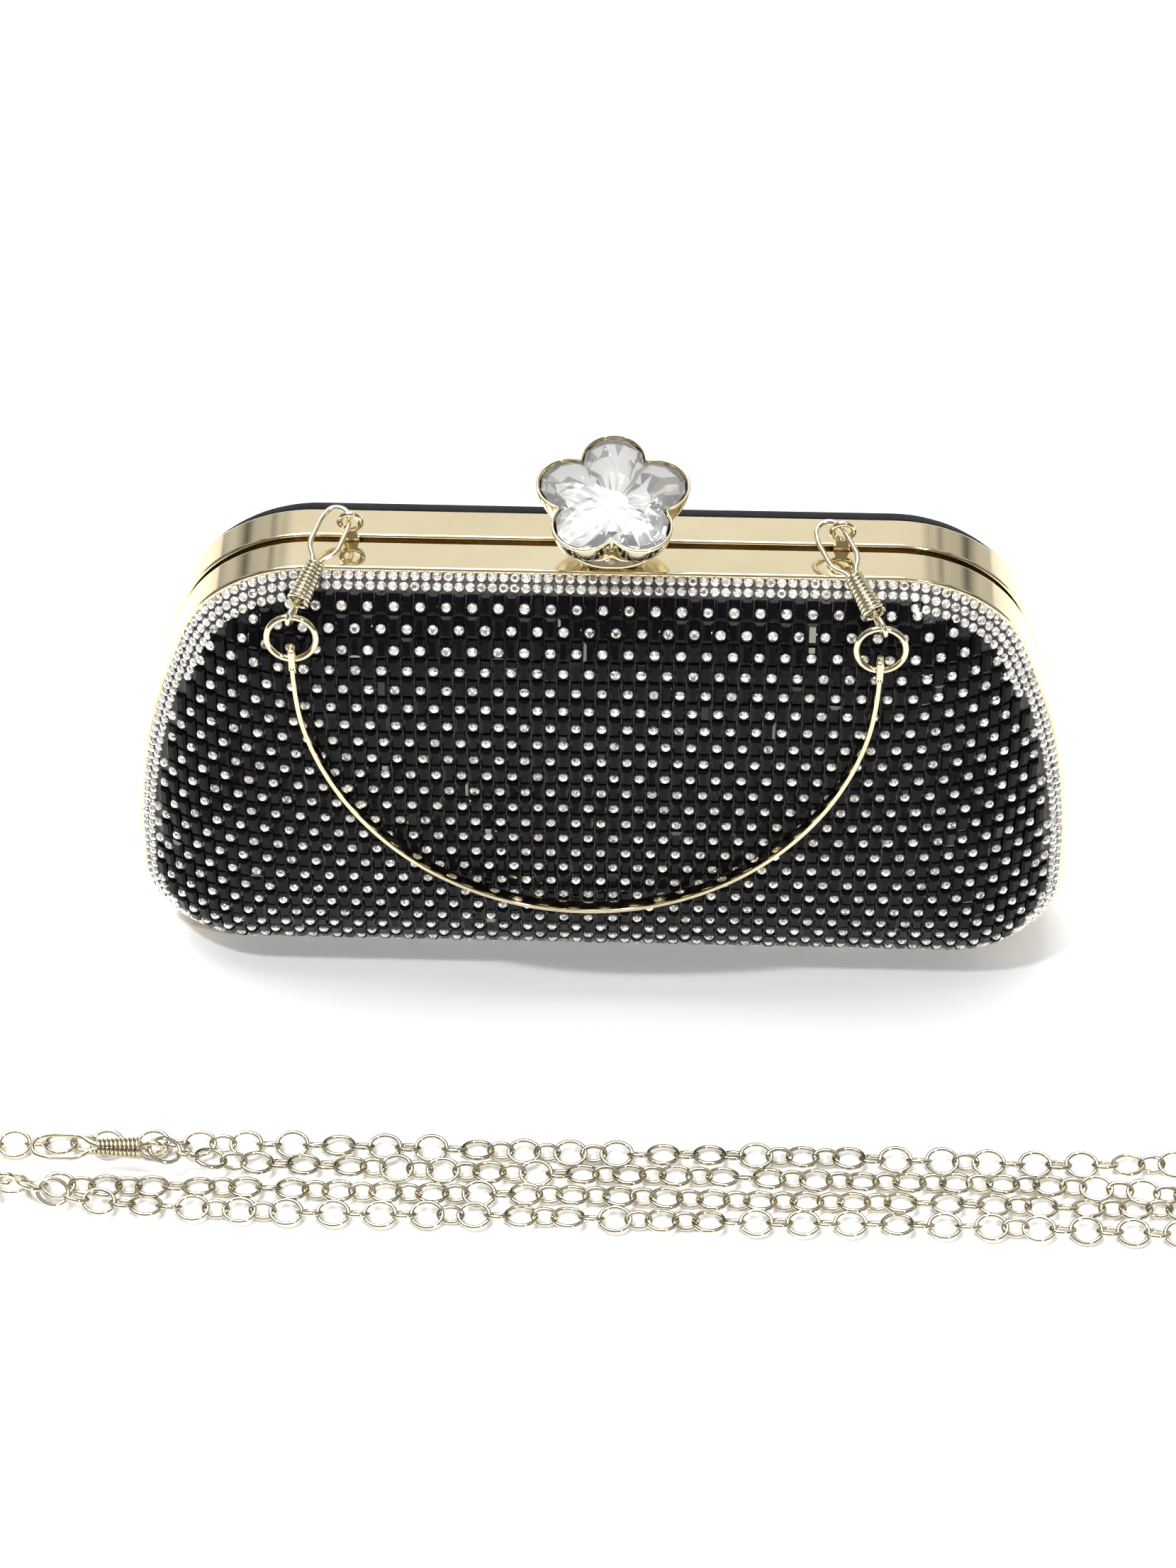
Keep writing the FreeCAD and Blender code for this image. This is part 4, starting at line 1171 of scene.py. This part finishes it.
def band_line(steps=150):
    """The middle line of the band, from the left end round to the right, in millimetres."""
    left, right = -70.9, 63.4
    fall = Vector((0, -0.24, -1)).normalized()
    hung = Vector((0, -23.4, HEIGHT - 2.4)) + fall * 11.2
    start, low, out = hung.z - 1.7, 33.8, -27.7
    middle, half = (left + right) / 2, (right - left) / 2
    line = []
    for k in range(steps + 1):
        angle = math.pi * (1 - k / steps)
        z = start - (start - low) * math.sin(angle)
        lean = min(1.0, (start - z) / 18.0)
        lean = lean * lean * (3 - 2 * lean)
        line.append(Vector((middle + half * math.cos(angle), hung.y + (out - hung.y) * lean, z)))
    return line


def make_band():
    """The stiff band on edge, swept round its loop."""
    line, section = band_line(), band_section()
    rings = []
    for k, point in enumerate(line):
        heading = (line[min(k + 1, len(line) - 1)] - line[max(k - 1, 0)]).normalized()
        deep = Vector((0, -1, 0))
        deep = (deep - heading * deep.dot(heading)).normalized()
        inward = heading.cross(deep)
        rings.append([(point + inward * a + deep * b) * MM for a, b in section])
    points, faces = loft(rings, start_cap=True, end_cap=True)
    return outward(mesh_piece("wrist_band_strip", points, faces))


def make_band_end(node):
    """A ribbed end plate: rounded slices that swell and pinch up its height."""
    low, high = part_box(node)
    middle = (Vector(low) + Vector(high)) / 2
    size = Vector(high) - Vector(low)
    half_x, half_y = min(size.x / 2, 0.0009), size.y / 2
    rings, slices = [], 44
    for k in range(slices + 1):
        share = k / slices
        up = low[2] + size.z * share
        rib = 0.90 + 0.10 * abs(math.sin(math.pi * 7 * share)) ** 0.6
        close = 1 - 0.25 * max(0.0, abs(share - 0.5) * 2 - 0.9) / 0.1
        rings.append([])
        for s in range(20):
            angle = TURN * s / 20
            c, t = math.cos(angle), math.sin(angle)
            x = half_x * rib * close * math.copysign(abs(c) ** 0.5, c)
            y = half_y * rib * close * math.copysign(abs(t) ** 0.4, t)
            rings[-1].append(Vector((middle.x + x, middle.y + y, up)))
    points, faces = loft(rings, start_cap=True, end_cap=True)
    return outward(mesh_piece(f"{node}_ribbed", points, faces))


# ---------------------------------------------------------------- carried frame nodes
class BAG_OT_fittings(bpy.types.Operator):
    """Finishes of the frames, hinge, clasp, eyelets and rings, which keep their own shapes."""

    bl_idname = "bag.fittings"
    bl_label = "Fittings"

    def execute(self, context):
        gold = pale_gold()
        # The inner lip's dark brown colour is painted shade of the recess between the two frames; the plating
        # there is the same gold.
        shaded_lip_gold = metal("shaded_gold_lip", (0.12, 0.08, 0.035), (0.07, 0.045, 0.02), 0.12, 0.3)
        steel = metal("hinge_steel", (0.62, 0.61, 0.60), (0.5, 0.49, 0.48), 0.15, 0.35)
        board = pressed_board("moulded_board")
        finishes = {"pale_gold": gold, "aged_gold": shaded_lip_gold, "steel": steel, "hook_metal": hook_wire_metal(),
                    "shell_board": board}
        slots = {part["node"]: part["material_slot"] for part in frame["record"]["subparts"]}
        for name, node in frame["nodes"].items():
            finish = finishes.get(slots.get(name))
            if finish:
                node.data.materials.clear()
                node.data.materials.append(finish)
        return {"FINISHED"}


class BAG_PT_panel(bpy.types.Panel):
    """Lists the bag's pieces in the sidebar."""

    bl_idname = "BAG_PT_panel"
    bl_label = "Evening bag"
    bl_space_type = "VIEW_3D"
    bl_region_type = "UI"
    bl_category = "Evening bag"

    def draw(self, context):
        for operator in OPERATORS:
            self.layout.operator(operator.bl_idname)
        for name in BagSettings.__annotations__:
            self.layout.prop(context.scene.bag_settings, name)


OPERATORS = (BAG_OT_stage, BAG_OT_chain, BAG_OT_crystals, BAG_OT_cloth, BAG_OT_flower, BAG_OT_handle,
             BAG_OT_fittings)
CLASSES = (BagSettings, *OPERATORS, BAG_PT_panel)


def register():
    for made in CLASSES:
        bpy.utils.register_class(made)
    bpy.types.Scene.bag_settings = bpy.props.PointerProperty(type=BagSettings)


def unregister():
    del bpy.types.Scene.bag_settings
    for made in reversed(CLASSES):
        bpy.utils.unregister_class(made)


def main():
    """Make every piece."""
    register()
    bpy.ops.bag.stage()
    bpy.ops.bag.chain()
    bpy.ops.bag.crystals()
    bpy.ops.bag.cloth()
    bpy.ops.bag.flower()
    bpy.ops.bag.handle()
    bpy.ops.bag.fittings()


if __name__ == "__main__":
    main()
